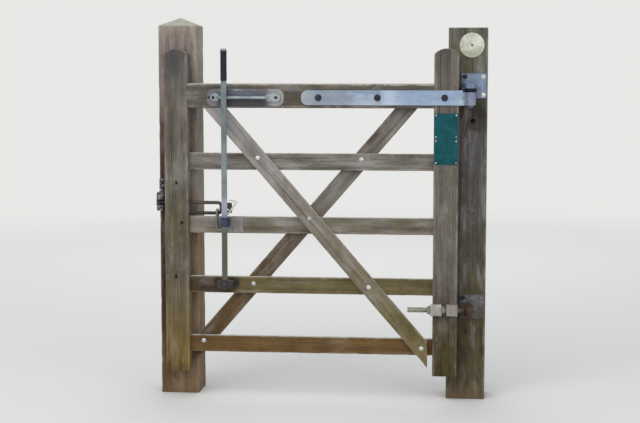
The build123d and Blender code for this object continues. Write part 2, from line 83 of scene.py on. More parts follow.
def timber_columns(half_sides, arris, checks, step):
    """Points round a sawn section: place, outward normal, side, offset, split, share of it, arris."""
    along_side = [(1, 0), (0, 1), (-1, 0), (0, -1)]
    outward = [(0, -1), (1, 0), (0, 1), (-1, 0)]
    across_split = (-1.0, -0.55, 0.0, 0.55, 1.0)
    columns = []
    for face in range(4):
        direction, normal = np.array(along_side[face]), np.array(outward[face])
        half, reach = half_sides[face % 2], half_sides[1 - face % 2]
        flat = half - arris
        points = [(t, -1, 0.0) for t in np.linspace(-flat, flat, max(3, round(2 * flat / step)) + 1)]
        for k, middle, width in [(k, c[1] * flat, c[4]) for k, c in enumerate(checks) if c[0] == face]:
            points = [p for p in points if abs(p[0] - middle) > width * 1.4 or abs(p[0]) == flat]
            points += [(middle + share * width, k, share) for share in across_split]
        for t, k, share in sorted(points):
            columns.append((*(normal * reach + direction * t), *normal, face, t, k, share, 0.0))
        centre = normal * (reach - arris) + direction * flat
        for angle in (math.pi / 8, math.pi / 4, 3 * math.pi / 8):
            turned_out = math.cos(angle) * normal + math.sin(angle) * direction
            columns.append((*(centre + arris * turned_out), *turned_out, face, half, -1, 0.0, 1.0))
    return np.array(columns, float)


def weathered_sides(table, u, half_sides, arris, checks, seed):
    """How far each point of a timber's sides sinks in and shifts, its split's depth and its wear."""
    ridge_width, fibre_width, hollow_width = 0.0042, 0.0017, 0.045
    ridge_height, fibre_height, hollow_depth = 0.00045, 0.00012, 0.00025
    beside_split, near_edge, worn_away = 0.014, 0.006, 0.002
    face, offset, split, share, corner = table[:, 4:9].T
    girth = np.cumsum(np.hypot(*(table[:, 0:2] - np.roll(table[:, 0:2], 1, axis=0)).T)) + 0 * u
    moved, depth = np.zeros_like(u), np.zeros_like(u)
    for k, (side, place, begin, finish, half_width, deep) in enumerate(checks):
        middle = place * (half_sides[side % 2] - arris)
        taper = np.sqrt(np.clip(4 * (u - begin) * (finish - u) / (finish - begin) ** 2, 0, 1))
        wander = 0.003 * drift(u / 0.11, u * 0 + k * 3.3, seed + 7)
        near = np.clip(1 - np.abs(offset - middle) / beside_split, 0, 1) * (face == side) * (corner == 0)
        mine = split == k
        moved += np.where(mine, wander + (taper - 1) * share * half_width, wander * near)
        depth += np.where(mine, deep * taper * (1 - np.abs(share)) ** 0.8, 0)
    ridges = 1 - np.abs(drift(girth / ridge_width, u / 0.3, seed))
    fibres = drift(girth / fibre_width, u / 0.05, seed + 1)
    hollows = drift(girth / hollow_width, u / 0.35, seed + 2)
    to_edge = np.array(half_sides)[face.astype(int) % 2] - np.abs(offset) - arris
    near_arris = np.maximum(corner, np.clip(1 - to_edge / near_edge, 0, 1))
    bites = drift(u / 0.035, face * 9.1 + 0 * u, seed + 3)
    bites = np.clip(bites + drift(u / 0.012, face * 5.3 + 0 * u, seed + 4) / 2, 0, 1.5)
    inward = ridge_height * (1 - ridges) + fibre_height * (fibres + 1) + hollow_depth * (hollows + 1) + depth
    inward += near_arris * worn_away * (0.15 + bites**1.5)
    return inward, moved * (corner == 0), depth, near_arris * (0.3 + bites)


SAWN_ROUGH = 0.0003


def timber_end(rim, normal, groove, end, arris, sign, seed):
    """Rings of points that round one end of a timber over and close it towards its middle."""
    turns = (math.pi / 6, math.pi / 3, math.pi / 2)
    rings = [rim - normal * arris * (1 - math.cos(turn)) for turn in turns]
    lifts = [arris * (1 - math.sin(turn)) + 1.2 * groove for turn in turns]
    for shrink in (0.9, 0.75, 0.6, 0.45, 0.3, 0.15, 0.05):
        ring = (rim - normal * arris) * shrink
        rough = SAWN_ROUGH * drift(ring[:, 0] / 0.004, ring[:, 1] / 0.004, seed + 5)
        rings.append(ring)
        lifts.append(SAWN_ROUGH + rough + 1.2 * groove * shrink)
    return [np.column_stack([ring, end(*ring.T) + sign * lift]) for ring, lift in zip(rings, lifts)]


def walls(rows, sides, ring=False):
    """Faces between rows of points round a form, the last row joined to the first in a ring."""
    here = np.arange(sides)
    after = (here + 1) % sides
    faces = []
    for row in range(rows if ring else rows - 1):
        low, high = row * sides, (row + 1) % rows * sides
        faces += np.column_stack([here + low, after + low, after + high, here + high]).tolist()
    return faces


def closed(rows, sides):
    """The walls of a form and a flat face at each end of it."""
    return [*walls(rows, sides), list(range(sides))[::-1], list(range((rows - 1) * sides, rows * sides))]


def sawn_timber(name, start, along, across, size, ends, arris, checks, seed, step=0.003):
    """A closed timber with weathered ridges, worn arrises and open splits.

    size is its width along across and its depth at right angles; ends are two functions that give
    where the low and the high end lie along the timber at any point of its section. Its points carry
    their grain coordinates, and as wear how deep in a split, how worn and how cut across they are.
    """
    along, across = Vector(along).normalized(), Vector(across).normalized()
    half_sides = (size[0] / 2, size[1] / 2)
    table = timber_columns(half_sides, arris, checks, step)
    base, normal, count = table[:, 0:2], table[:, 2:4], len(table)
    low, high = [np.broadcast_to(end(*base.T), count) for end in ends]
    row_spacing, dark_depth = 0.012, 0.002
    share_along = np.linspace(0, 1, int((high - low).max() / row_spacing) + 1)[:, None]
    u = low + arris + share_along * (high - low - 2 * arris)
    inward, moved, depth, arris_wear = weathered_sides(table, u, half_sides, arris, checks, seed)

    direction = np.stack([-normal[:, 1], normal[:, 0]], axis=1)
    section = base - normal * inward[:, :, None] + direction * moved[:, :, None]
    sides = np.concatenate([section, u[:, :, None]], axis=2)
    low_end = timber_end(section[0], normal, depth[0], ends[0], arris, 1, seed)
    high_end = timber_end(section[-1], normal, depth[-1], ends[1], arris, -1, seed)
    loops = [*reversed(low_end), *sides, *high_end]
    lifts = (SAWN_ROUGH, -SAWN_ROUGH)
    middles = [[0, 0, end(*np.zeros((2, 1)))[0] + lift] for end, lift in zip(ends, lifts)]
    points = np.concatenate([*loops, middles])
    total, top = len(points), (len(loops) - 1) * count
    round_rim = [(k, (k + 1) % count) for k in range(count)]
    faces = walls(len(loops), count) + [[total - 2, b, a] for a, b in round_rim]
    faces += [[total - 1, top + a, top + b] for a, b in round_rim]

    mesh = bpy.data.meshes.new(name)
    placed_points = np.array(start) + points @ np.array([across, along.cross(across), along])
    mesh.from_pydata(placed_points.tolist(), [], faces)
    random = np.random.default_rng(seed)
    pith = np.array([random.uniform(0.05, 0.12), random.uniform(0.03, 0.1), random.uniform(0, 9)])
    end_rows = len(low_end)
    unworn = [np.zeros(count)] * end_rows
    split = np.concatenate([*[depth[0]] * end_rows, *depth, *[depth[-1]] * end_rows, [0, 0]])
    edge = np.concatenate([*unworn, *arris_wear, *unworn, [0, 0]])
    cut_across = np.ones(total)
    cut_across[end_rows * count : total - 2 - end_rows * count] = 0
    wear = np.clip(np.column_stack([split / dark_depth, edge, cut_across]), 0, 1)
    give_attribute(mesh, "grain", points + pith)
    give_attribute(mesh, "wear", wear)
    return stood_up(name, mesh, 55)


def upright(node, top, checks, seed):
    """A post or a stile in the place of its solid, with a shaped top."""
    low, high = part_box(node)
    middle_x, middle_y, _ = middle_of(node)
    start, size, arris = (middle_x, middle_y, 0), (high.x - low.x, high.y - low.y), 0.004
    return sawn_timber(node + "_timber", start, UP, RIGHT, size, (level(low.z), top), arris, checks, seed)


def middle_of(node):
    """The middle of a solid's box, as X, Y and Z."""
    return [(low + high) / 2 for low, high in zip(*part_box(node))]


def level(value):
    """An end of a timber cut square."""
    return lambda v, w: value + 0 * v


def give_attribute(mesh, label, values):
    """A vector at each point of a mesh, which its material reads by name."""
    mesh.attributes.new(label, "FLOAT_VECTOR", "POINT")
    mesh.attributes[label].data.foreach_set("vector", np.asarray(values, np.float32).ravel())


def stood_up(name, mesh, crease):
    """An object in the scene, smooth where its faces meet at less than the crease angle."""
    mesh.polygons.foreach_set("use_smooth", [True] * len(mesh.polygons))
    mesh.set_sharp_from_angle(angle=math.radians(crease))
    piece = bpy.data.objects.new(name, mesh)
    bpy.context.scene.collection.objects.link(piece)
    return piece


def turned(profile, sides=24, across_flats=None, ring=False):
    """Points and faces of a form turned about Z from (radius, height) pairs, with six flats if given.

    As a ring its last pair joins its first, and otherwise a flat face closes each end.
    """
    radii, heights = np.array(profile, float).T
    turn = np.arange(sides) * 2 * math.pi / sides
    reach = np.repeat(radii[:, None], sides, axis=1)
    if across_flats:
        to_flat = (turn + math.pi / 6) % (math.pi / 3) - math.pi / 6
        reach = np.minimum(reach, across_flats / 2 / np.cos(to_flat))
    points = np.stack([reach * np.cos(turn), reach * np.sin(turn), heights[:, None] + 0 * reach], axis=2)
    return points.reshape(-1, 3), walls(len(profile), sides, True) if ring else closed(len(profile), sides)


def placed(form, origin, outward, spin=0.0):
    """A form moved to a place, with its Z turned to point outward."""
    points, faces = form
    turn = Vector(outward).to_track_quat("Z", "Y").to_matrix() @ Matrix.Rotation(spin, 3, "Z")
    return points @ np.array(turn).T + np.array(origin), faces


def gathered(name, forms, crease=32):
    """One object from several forms."""
    points, faces, count = [], [], 0
    for form_points, form_faces in forms:
        faces += [[index + count for index in face] for face in form_faces]
        points.append(form_points)
        count += len(form_points)
    mesh = bpy.data.meshes.new(name)
    mesh.from_pydata(np.concatenate(points).tolist(), [], faces)
    return stood_up(name, mesh, crease)


def bore(piece, holes):
    """Round holes in a timber, each a place at its mouth, a direction inwards, a radius and a depth."""
    start = 0.004
    forms = [placed(turned([(r, -start), (r, d)], 20), mouth, inwards) for mouth, inwards, r, d in holes]
    cutter = gathered("cutter", forms)
    count = len(cutter.data.vertices)
    give_attribute(cutter.data, "grain", np.concatenate([points for points, _ in forms]))
    # Bore walls count as deep in a split, so the timber's finish paints them dark: painted shade inside the
    # holes.
    give_attribute(cutter.data, "wear", np.tile((0.8, 0.0, 0.0), (count, 1)))
    cut = piece.modifiers.new("Bores", "BOOLEAN")
    cut.object, cut.operation, cut.solver = cutter, "DIFFERENCE", "MANIFOLD"
    bpy.context.view_layer.update()
    finished = piece.evaluated_get(bpy.context.evaluated_depsgraph_get())
    mesh = bpy.data.meshes.new_from_object(finished)
    piece.modifiers.clear()
    piece.data = mesh
    bpy.data.objects.remove(cutter)


def add_node(kind, inputs, tree=None, **settings):
    """A shader node in a tree, or else in the tree that its inputs come from, linked to them or set."""
    sockets = [value for value in inputs.values() if isinstance(value, bpy.types.NodeSocket)]
    tree = tree or sockets[0].id_data
    made = tree.nodes.new("ShaderNode" + kind)
    for key, value in settings.items():
        setattr(made, key, value)
    for key, value in inputs.items():
        if isinstance(value, bpy.types.NodeSocket):
            tree.links.new(value, made.inputs[key])
        else:
            made.inputs[key].default_value = value
    return made


def work_out(operation, first, *others):
    """Arithmetic on sockets and numbers, one node for each step."""
    for other in others:
        first = add_node("Math", {0: first, 1: other}, operation=operation).outputs[0]
    return first


def times(*factors):
    """The product of sockets and numbers."""
    return work_out("MULTIPLY", *factors)


def plus(*terms):
    """The sum of sockets and numbers."""
    return work_out("ADD", *terms)


def fade(value, low, high, to_low=0.0, to_high=1.0):
    """Value carried smoothly from one range to another."""
    inputs = {0: value, 1: low, 2: high, 3: to_low, 4: to_high}
    return add_node("MapRange", inputs, interpolation_type="SMOOTHSTEP").outputs[0]


def colour(red, green, blue, share=1.0):
    """A tone as on a paint chart, 0 to 255, turned to the light's own scale, or a share of its light."""
    chart = [c / 255 for c in (red, green, blue)]
    return (*[share * (c / 12.92 if c <= 0.04 else ((c + 0.055) / 1.055) ** 2.4) for c in chart], 1.0)


def tint(amount, first, second, mode="MIX"):
    """Two colours mixed by an amount, each a socket or a tone."""
    first, second = [colour(*value) if isinstance(value, tuple) else value for value in (first, second)]
    return add_node("Mix", {0: amount, 6: first, 7: second}, data_type="RGBA", blend_type=mode).outputs[2]


def shade(body, value):
    """A colour made darker or lighter by a value about 1."""
    grey = add_node("CombineXYZ", {0: value, 1: value, 2: value}, body.id_data).outputs[0]
    return tint(1.0, body, grey, "MULTIPLY")


def stretched(vector, scale):
    """Coordinates multiplied axis by axis."""
    return add_node("VectorMath", {0: vector, 1: scale}, operation="MULTIPLY").outputs[0]


def cloud(vector, scale=1.0, detail=3.0, roughness=0.55):
    """Noise between about 0 and 1."""
    inputs = {"Vector": vector, "Scale": scale, "Detail": detail, "Roughness": roughness}
    return add_node("TexNoise", inputs).outputs[0]


def window(place, limits, ragged):
    """A mask inside limits, each an axis, its low and high ends and how softly they fade."""
    axes = add_node("SeparateXYZ", {0: place}).outputs
    inside = 1.0
    for axis, low, high, soft in limits:
        value = plus(axes[axis], ragged)
        enter = fade(value, low - soft, low + soft)
        leave = fade(value, high - soft, high + soft, 1.0, 0.0)
        inside = times(inside, enter, leave)
    return inside


def stained(body, place, stains, uneven, ragged, pattern, shares):
    """A colour under stains, each a tone, how strong it is and the limits of the place that it covers.

    The pattern carries a stain between two shares of its tone's light.
    """
    for tone, strength, limits in stains:
        covers = times(window(place, limits, times(plus(uneven, -0.5), ragged)), strength)
        body = tint(covers, body, tint(pattern, (*tone, shares[0]), (*tone, shares[1])))
    return body


def node_group(name, **inputs):
    """An empty node group and its inputs: a place where none is given, a colour, or a number."""
    tree = bpy.data.node_groups.new(name, "ShaderNodeTree")
    for label, value in inputs.items():
        kind = "Vector" if value is None else "Color" if isinstance(value, tuple) else "Float"
        socket = tree.interface.new_socket(label, in_out="INPUT", socket_type="NodeSocket" + kind)
        if value is not None:
            socket.default_value = value
    return tree, tree.nodes.new("NodeGroupInput").outputs


def put_out(tree, **made):
    """Gives a node group its named outputs, each linked to what was worked out for it."""
    for label, value in made.items():
        kind = "Color" if value.type == "RGBA" else "Float"
        tree.interface.new_socket(label, in_out="OUTPUT", socket_type="NodeSocket" + kind)
    out = tree.nodes.new("NodeGroupOutput")
    for label, value in made.items():
        tree.links.new(value, out.inputs[label])
    return tree


def timber_grain_group():
    """Growth rings round a pith, fibres, broad streaks and knots, all in a timber's own coordinates."""
    tree, given = node_group("Timber grain", Grain=None, Spacing=0.005, Knots=0.5)

    def drawn_out(across, along, detail, roughness=0.55):
        """Noise that is longer along the grain than across it."""
        return cloud(stretched(given["Grain"], (across, across, along)), 1.0, detail, roughness)

    cells = add_node("TexVoronoi", {"Vector": stretched(given["Grain"], (9, 9, 3.2)), "Scale": 1.0}).outputs
    picked = add_node("SeparateColor", {0: cells["Color"]}).outputs[0]
    chosen = fade(work_out("SUBTRACT", given["Knots"], picked), 0.0, 0.05)
    knot = times(fade(cells["Distance"], 0.2, 0.05), chosen)
    bend = times(fade(cells["Distance"], 0.5, 0.02), chosen, 0.03)
    flat = stretched(given["Grain"], (1, 1, 0))
    radius = add_node("VectorMath", {0: flat}, operation="LENGTH").outputs["Value"]
    radius = plus(radius, times(drawn_out(7, 1.1, 2.0), 0.05), times(drawn_out(40, 6, 2.0), 0.003), bend)
    turn = work_out("DIVIDE", radius, given["Spacing"])
    phase = add_node("Math", {0: turn}, operation="FRACT").outputs[0]
    ring = times(fade(phase, 0.0, 0.8), fade(phase, 0.86, 1.0, 1.0, 0.0))
    fibre = drawn_out(700, 14, 4.0, 0.6)
    lines = add_node("Math", {0: plus(drawn_out(210, 3.5, 1.0), -0.5)}, operation="ABSOLUTE").outputs[0]
    hairline = times(fade(lines, 0.004, 0.02, 1.0, 0.0), fade(drawn_out(30, 7, 3.0), 0.5, 0.62))
    relief = plus(times(ring, 0.45), times(fibre, 0.55), times(knot, -0.3), times(hairline, -0.5))
    streak, figure = drawn_out(60, 1.4, 5.0, 0.65), drawn_out(26, 6, 6.0, 0.62)
    grain = {"Ring": ring, "Fibre": fibre, "Knot": knot, "Hairline": hairline}
    return put_out(tree, Streak=streak, Figure=figure, Relief=relief, **grain)


def weather_group():
    """Where a surface out of doors stays damp, is splashed, faces the sky and is blotched."""
    tree, given = node_group("Weather", Position=None, Top=0.5, Fade=0.4)
    place = given["Position"]
    height = add_node("SeparateXYZ", {0: place}).outputs[2]
    blotch = cloud(place, 9.0, 5.0, 0.6)
    uneven = times(plus(blotch, -0.5), 0.5)
    limits = {0: plus(height, uneven), 1: plus(given["Top"], given["Fade"]), 2: given["Top"]}
    damp = add_node("MapRange", limits).outputs[0]
    splash = fade(plus(height, times(uneven, 0.25)), 0.09, 0.0)
    normal = add_node("NewGeometry", {}, tree).outputs["True Normal"]
    facing_up = fade(add_node("SeparateXYZ", {0: normal}).outputs[2], 0.35, 0.8)
    lichen = times(fade(cloud(place, 75.0, 5.0, 0.7), 0.56, 0.64), fade(cloud(place, 6.0, 2.0), 0.48, 0.62))
    patch = cloud(stretched(place, (1, 1, 0.5)), 26.0, 5.0, 0.65)
    wet = {"Damp": damp, "Splash": splash, "Lichen": lichen}
    return put_out(tree, Upward=facing_up, Blotch=blotch, Patch=patch, **wet)


timber_grain, weather = timber_grain_group(), weather_group()


def new_finish(name):
    """A new material, its shader and the place of each point."""
    material = bpy.data.materials.new(name)
    material.use_nodes = True
    place = add_node("TexCoord", {}, material.node_tree).outputs["Object"]
    return material, material.node_tree.nodes["Principled BSDF"], place


def link_up(shader, made, relief, strength, distance, sheen):
    """Links what a finish worked out, and its relief as a bump, to its shader."""
    bump = add_node("Bump", {"Strength": strength, "Distance": distance, "Height": relief})
    for label, value in {**made, "Normal": bump.outputs[0]}.items():
        shader.id_data.links.new(value, shader.inputs[label])
    shader.inputs["Specular IOR Level"].default_value = sheen


def timber_material(
    name, dry, damp, algae=0.0, algae_above=2.0, damp_top=0.2, damp_fade=0.5,
    figured=0.3, bleach=0.9, stains=(),
):
    """Weathered softwood: grey and bleached above, brown and damp below, dark in its splits.

    dry and damp are each a dark and a light tone. algae grows above the height algae_above. figured
    is how far the surface is patched paler and browner along its grain, and bleach how pale its top
    is. The stains lie over all this.
    """
    material, shader, place = new_finish(name)
    grain_at, wear_at = [
        add_node("Attribute", {}, material.node_tree, attribute_name=label).outputs["Vector"]
        for label in ("grain", "wear")
    ]
    split, edge, cut_across = add_node("SeparateXYZ", {0: wear_at}).outputs
    height = add_node("SeparateXYZ", {0: place}).outputs[2]
    grain = {"Grain": grain_at, "Spacing": 0.0046, "Knots": 0.22}
    grain = add_node("Group", grain, node_tree=timber_grain).outputs
    air = {"Position": place, "Top": damp_top, "Fade": damp_fade}
    air = add_node("Group", air, node_tree=weather).outputs
    patch = air["Patch"]
    streak = fade(grain["Streak"], 0.28, 0.72)
    body = tint(air["Damp"], tint(streak, *dry), tint(streak, *damp))
    body = stained(body, place, stains, patch, 0.12, streak, (0.72, 1.0))
    for end, tone, share in ((0.68, (170, 164, 166), 1.25), (0.34, (74, 58, 42), 0.62)):
        figure = fade(grain["Figure"], 0.5, end, 0.0, figured)
        body = tint(figure, body, shade(tint(0.5, body, tone), share))
    body = tint(times(grain["Ring"], 0.18), body, (58, 46, 36))
    body = shade(body, fade(grain["Fibre"], 0.3, 0.72, 0.86, 1.11))
    body = tint(times(grain["Hairline"], 0.6), body, (42, 34, 28))
    body = shade(body, fade(air["Blotch"], 0.3, 0.7, 0.86, 1.12))
    body = shade(body, fade(patch, 0.3, 0.7, 0.92, 1.08))
    growing = fade(plus(height, times(patch, 0.3)), algae_above, algae_above + 0.3)
    growing = work_out("MAXIMUM", growing, times(air["Damp"], 0.55))
    for cover, tone in (
        (times(growing, fade(patch, 0.35, 0.65, 0.0, algae)), (96, 94, 58)),
        (times(air["Upward"], fade(patch, 0.2, 0.6, bleach / 2, bleach)), (196, 195, 182)),
        (times(cut_across, fade(grain["Ring"], 0.2, 1.0, 0.1, 0.4)), (98, 88, 74)),
        (times(air["Lichen"], 0.16), (164, 166, 146)),
        (times(grain["Knot"], 0.7), (56, 42, 32)),
        (times(edge, fade(patch, 0.3, 0.6, 0.1, 0.5)), (168, 158, 142)),
        (times(air["Splash"], 0.6), (112, 92, 68)),
        # Splits are painted near black by their depth: partly dirt, partly painted shade in them.
        (times(split, 0.9), (30, 24, 19)),
    ):
        body = tint(cover, body, tone)
    made = {"Base Color": body, "Roughness": fade(grain["Fibre"], 0.2, 0.8, 0.95, 0.78)}
    link_up(shader, made, grain["Relief"], strength=0.65, distance=0.0016, sheen=0.25)
    return material


def fit(piece, body, material, node=None):
    """Gives a piece its finish, lets it ride on a body, and lets it stand for a solid if one is named."""
    piece.data.materials.clear()
    piece.data.materials.append(material)
    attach(piece, body)
    if node:
        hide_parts(node)


UP, RIGHT, LEFT, BACK, FRONT = (0, 0, 1), (1, 0, 0), (-1, 0, 0), (0, 1, 0), (0, -1, 0)
ALL_FACES = (0, 1, 2, 3)
ANYWHERE = 9.0
post_low, post_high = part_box("hinge_post")
post_front = post_low.y
post_checks = drying_checks(
    11, ALL_FACES, post_high.z, count=2, widest=0.0034, deepest=0.012, longest=0.8
)
hinge_post = upright("hinge_post", level(post_high.z), post_checks, seed=21)
old_bolt_hole = ((0.021, post_front, 1.147), BACK, 0.0095, 0.02)
bore(hinge_post, [old_bolt_hole])
# The damp tones at its foot are darker than damp alone makes them: partly damp, partly painted shade low
# down.
hinge_post_finish = timber_material(
    "Weathered hinge post", ((76, 74, 73), (104, 102, 100)), ((60, 52, 39), (86, 75, 57)),
    algae=0.8, algae_above=1.3, damp_top=0.4, figured=0.6,
    # The dark band from 1.11 to 1.225 m is a painted shadow under the strap and the hook plate.
    stains=[((58, 51, 46), 0.75, [(2, 1.11, 1.225, 0.02)])],
)
fit(hinge_post, "posts", hinge_post_finish, "hinge_post")


# Latch post. The same 160 mm timber, newer and paler, with its head weathered four ways.
# A strip down its left side is damp and reddish brown where the wall beside it shelters it, and painted
# darker, as painted shade between the wall and the stile.

latch_low, latch_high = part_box("latch_post")
cap_rise = 0.035
cap_shoulder = latch_high.z - cap_rise


def four_way_cap(v, w):
    """The four slopes of the post's head."""
    half = (latch_high.x - latch_low.x) / 2
    return cap_shoulder + cap_rise * (1 - np.maximum(np.abs(v), np.abs(w)) / half)


latch_checks = drying_checks(
    15, ALL_FACES, cap_shoulder, count=1, widest=0.0026, deepest=0.010, longest=0.5
)
latch_post = upright("latch_post", four_way_cap, latch_checks, seed=45)
hole_in_side = ((latch_high.x, -0.045, 0.871), LEFT, 0.006, 0.02)
bore(latch_post, [hole_in_side])
head_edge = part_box("head_stile")[0].x
left_of_stile = (0, -ANYWHERE, head_edge + 0.02, 0.02)
right_of_stile = (0, head_edge + 0.1, ANYWHERE, 0.01)
latch_post_finish = timber_material(
    "Weathered latch post", ((122, 109, 102), (154, 140, 132)), ((110, 84, 58), (142, 113, 82)),
    algae=0.25, damp_top=0.05,
    stains=[
        # Left of the stile: reddish damp wood, darkened also as painted shade of the recess by the wall.
        ((98, 70, 52), 0.9, [left_of_stile, (2, -0.1, 0.6, 0.09)]),
        ((72, 39, 27), 0.95, [left_of_stile, (2, 0.27, 1.18, 0.1)]),
        ((166, 162, 144), 0.6, [(2, 1.512, ANYWHERE, 0.012)]),
        # Right of the stile the post is painted lighter, as painted light over the shadow that the leaf
        # casts there, and browner lower down.
        ((158, 147, 136), 0.8, [right_of_stile, (2, 0.7, 1.26, 0.1)]),
        ((152, 124, 90), 0.85, [right_of_stile, (2, 0.14, 0.78, 0.1)]),
        ((180, 174, 160), 0.7, [right_of_stile, (2, 1.3, 1.5, 0.05)]),
    ],
)
fit(latch_post, "posts", latch_post_finish, "latch_post")


# Stiles of the leaf. Two 100 by 70 mm uprights with arched tops, mortised for the rails.
# The head stile is bored for the bolt and counterbored on its face for three more bolts, and its
# foot is stained yellow and green.

stile_low, stile_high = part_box("head_stile")
stile_width = stile_high.x - stile_low.x
leaf_front, leaf_middle = stile_low.y, middle_of("head_stile")[1]
head_inner = stile_high.x
arch_rise = 0.024
arch_radius = ((stile_width / 2) ** 2 + arch_rise**2) / (2 * arch_rise)


def arched_top(v, w):
    """The rounded head of a stile, struck as one arc across its width."""
    across = np.clip(np.abs(v), 0, stile_width / 2)
    return stile_high.z - arch_radius + np.sqrt(arch_radius**2 - across**2)


recess_radius, recess_depth = 0.006, 0.012
recess_places = [(head_edge + inset, z) for inset, z in ((0.046, 0.506), (0.072, 0.730), (0.050, 0.894))]
recesses = [((x, leaf_front, z), BACK, recess_radius, recess_depth) for x, z in recess_places]
bolt_low, bolt_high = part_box("latch_bolt")
bolt_radius = (bolt_high.y - bolt_low.y) / 2
bolt_bore = bolt_radius + 0.0012
bolt_z, guide_leg_z = bolt_high.z - bolt_radius, bolt_low.z + bolt_radius
guide_leg_depth = 0.0665
bolt_bores = [
    ((head_edge, leaf_middle, bolt_z), RIGHT, bolt_bore, stile_width + 0.004),
    ((head_inner, leaf_middle, guide_leg_z), LEFT, bolt_bore, guide_leg_depth),
]
# The heel stile's damp foot reaches higher and darker than damp alone: partly damp, partly painted shade low
# down.
heel_stile_finish = timber_material(
    "Weathered heel stile", ((88, 82, 75), (118, 112, 102)), ((50, 40, 20), (76, 63, 35)),
    algae=0.4, damp_top=0.25, damp_fade=0.2, bleach=0.3,
)
head_stile_finish = timber_material(
    "Weathered head stile", ((84, 78, 68), (114, 107, 96)), ((102, 82, 34), (136, 110, 50)),
    algae=0.5, damp_top=0.22, damp_fade=0.25, bleach=0.3,
    stains=[
        ((88, 87, 90), 0.7, [(2, 1.3, ANYWHERE, 0.1)]),
        ((98, 90, 67), 0.7, [(2, 0.48, 0.80, 0.06)]),
        ((134, 118, 90), 0.7, [(2, 0.34, 0.47, 0.05)]),
        ((88, 68, 34), 0.6, [(2, -ANYWHERE, 0.145, 0.02)]),
        ((134, 136, 124), 0.5, [(0, head_edge + 0.02, ANYWHERE, 0.02), (2, 0.88, 0.98, 0.03)]),
        *[
            ((56, 56, 44), 0.6, [(0, x - 0.008, x + 0.008, 0.006), (2, z - 0.009, z + 0.009, 0.007)])
            for x, z in recess_places
        ],
    ],
)
for node, seed, finish, holes in (
    ("heel_stile", 63, heel_stile_finish, None),
    ("head_stile", 88, head_stile_finish, [*recesses, *bolt_bores]),
):
    stile_checks = drying_checks(seed, ALL_FACES, stile_high.z, count=2, widest=0.0026, deepest=0.008)
    stile = upright(node, arched_top, stile_checks, seed)
    if holes:
        bore(stile, holes)
    fit(stile, "leaf", finish, node)


# Top rail. A 100 by 70 mm rail tenoned between the stiles, its upper arrises eased against rain.
# Weather has left its top edge pale and its face a dull brown grey.

rail_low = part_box("top_rail")[0]
heel_low, heel_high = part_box("heel_stile")
heel_inner, heel_edge = heel_low.x, heel_high.x
rail_length = heel_inner - head_inner
board_step = 0.0024


def between_stiles(node, seed, checks, finish, arris):
    """A rail that runs into both stiles at its own height."""
    housed = 0.012
    low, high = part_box(node)
    start = (head_inner, middle_of(node)[1], middle_of(node)[2])
    ends = (level(-housed), level(rail_length + housed))
    size = (high.z - low.z, high.y - low.y)
    piece = sawn_timber(node + "_timber", start, RIGHT, UP, size, ends, arris, checks, seed, board_step)
    fit(piece, "leaf", finish, node)


top_rail_tones = ((74, 70, 65), (102, 98, 91))
top_rail_finish = timber_material(
    "Weathered top rail", top_rail_tones, top_rail_tones, algae=0.25, algae_above=1.2, figured=0.5
)
top_rail_checks = drying_checks(31, (0, 2, 1), rail_length, count=2, widest=0.002, deepest=0.007)
between_stiles("top_rail", 101, top_rail_checks, top_rail_finish, arris=0.008)


# Lower rails. Four 70 by 22 mm boards housed in the stiles, bleached near the top of the leaf and
# browner and damper towards the ground. The lever's pivot has stained the fourth one's left end.

wear_stain = ((144, 136, 132), 0.7, [(0, -ANYWHERE, -0.9, 0.04), (2, 0.7, ANYWHERE, 0.01)])
pivot_stain = ((62, 44, 32), 0.9, [(0, -ANYWHERE, -0.95, 0.05)])
for node, seed, tones, algae, figured, stains in (
    ("second_rail", 105, ((106, 100, 94), (142, 137, 131)), 0.2, 0.7, ()),
    ("middle_rail", 113, ((103, 96, 86), (136, 129, 118)), 0.45, 0.6, [wear_stain]),
    ("fourth_rail", 122, ((88, 78, 50), (118, 105, 70)), 0.5, 0.35, [pivot_stain]),
    ("bottom_rail", 137, ((86, 61, 32), (116, 86, 47)), 0.3, 0.22, ()),
):
    name = "Weathered " + node.replace("_", " ")
    board_finish = timber_material(
        name, tones, tones, algae, algae_above=0.6, figured=figured, stains=stains
    )
    board_checks = drying_checks(seed, (0, 2), rail_length, count=2, widest=0.0018, deepest=0.005)
    between_stiles(node, seed, board_checks, board_finish, arris=0.0025)


# Braces. Two crossed 70 by 22 mm boards bolted to the rails' front and back, cut level under the top
# rail and upright beside the stile at their feet. The front one is the palest timber of the leaf.

brace_width = 0.070
brace_top_inset = 0.112
brace_foot_inset = 0.015
bottom_rail_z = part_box("bottom_rail")[0].z


def brace_line(node):
    """The middle of a brace's top and foot, as X and Z."""
    top_x, foot_x = head_inner + brace_top_inset, heel_inner - brace_foot_inset
    if node == "rear_brace":
        top_x, foot_x = heel_inner - brace_top_inset, head_inner + brace_foot_inset
    return (top_x, rail_low.z), (foot_x, bottom_rail_z)


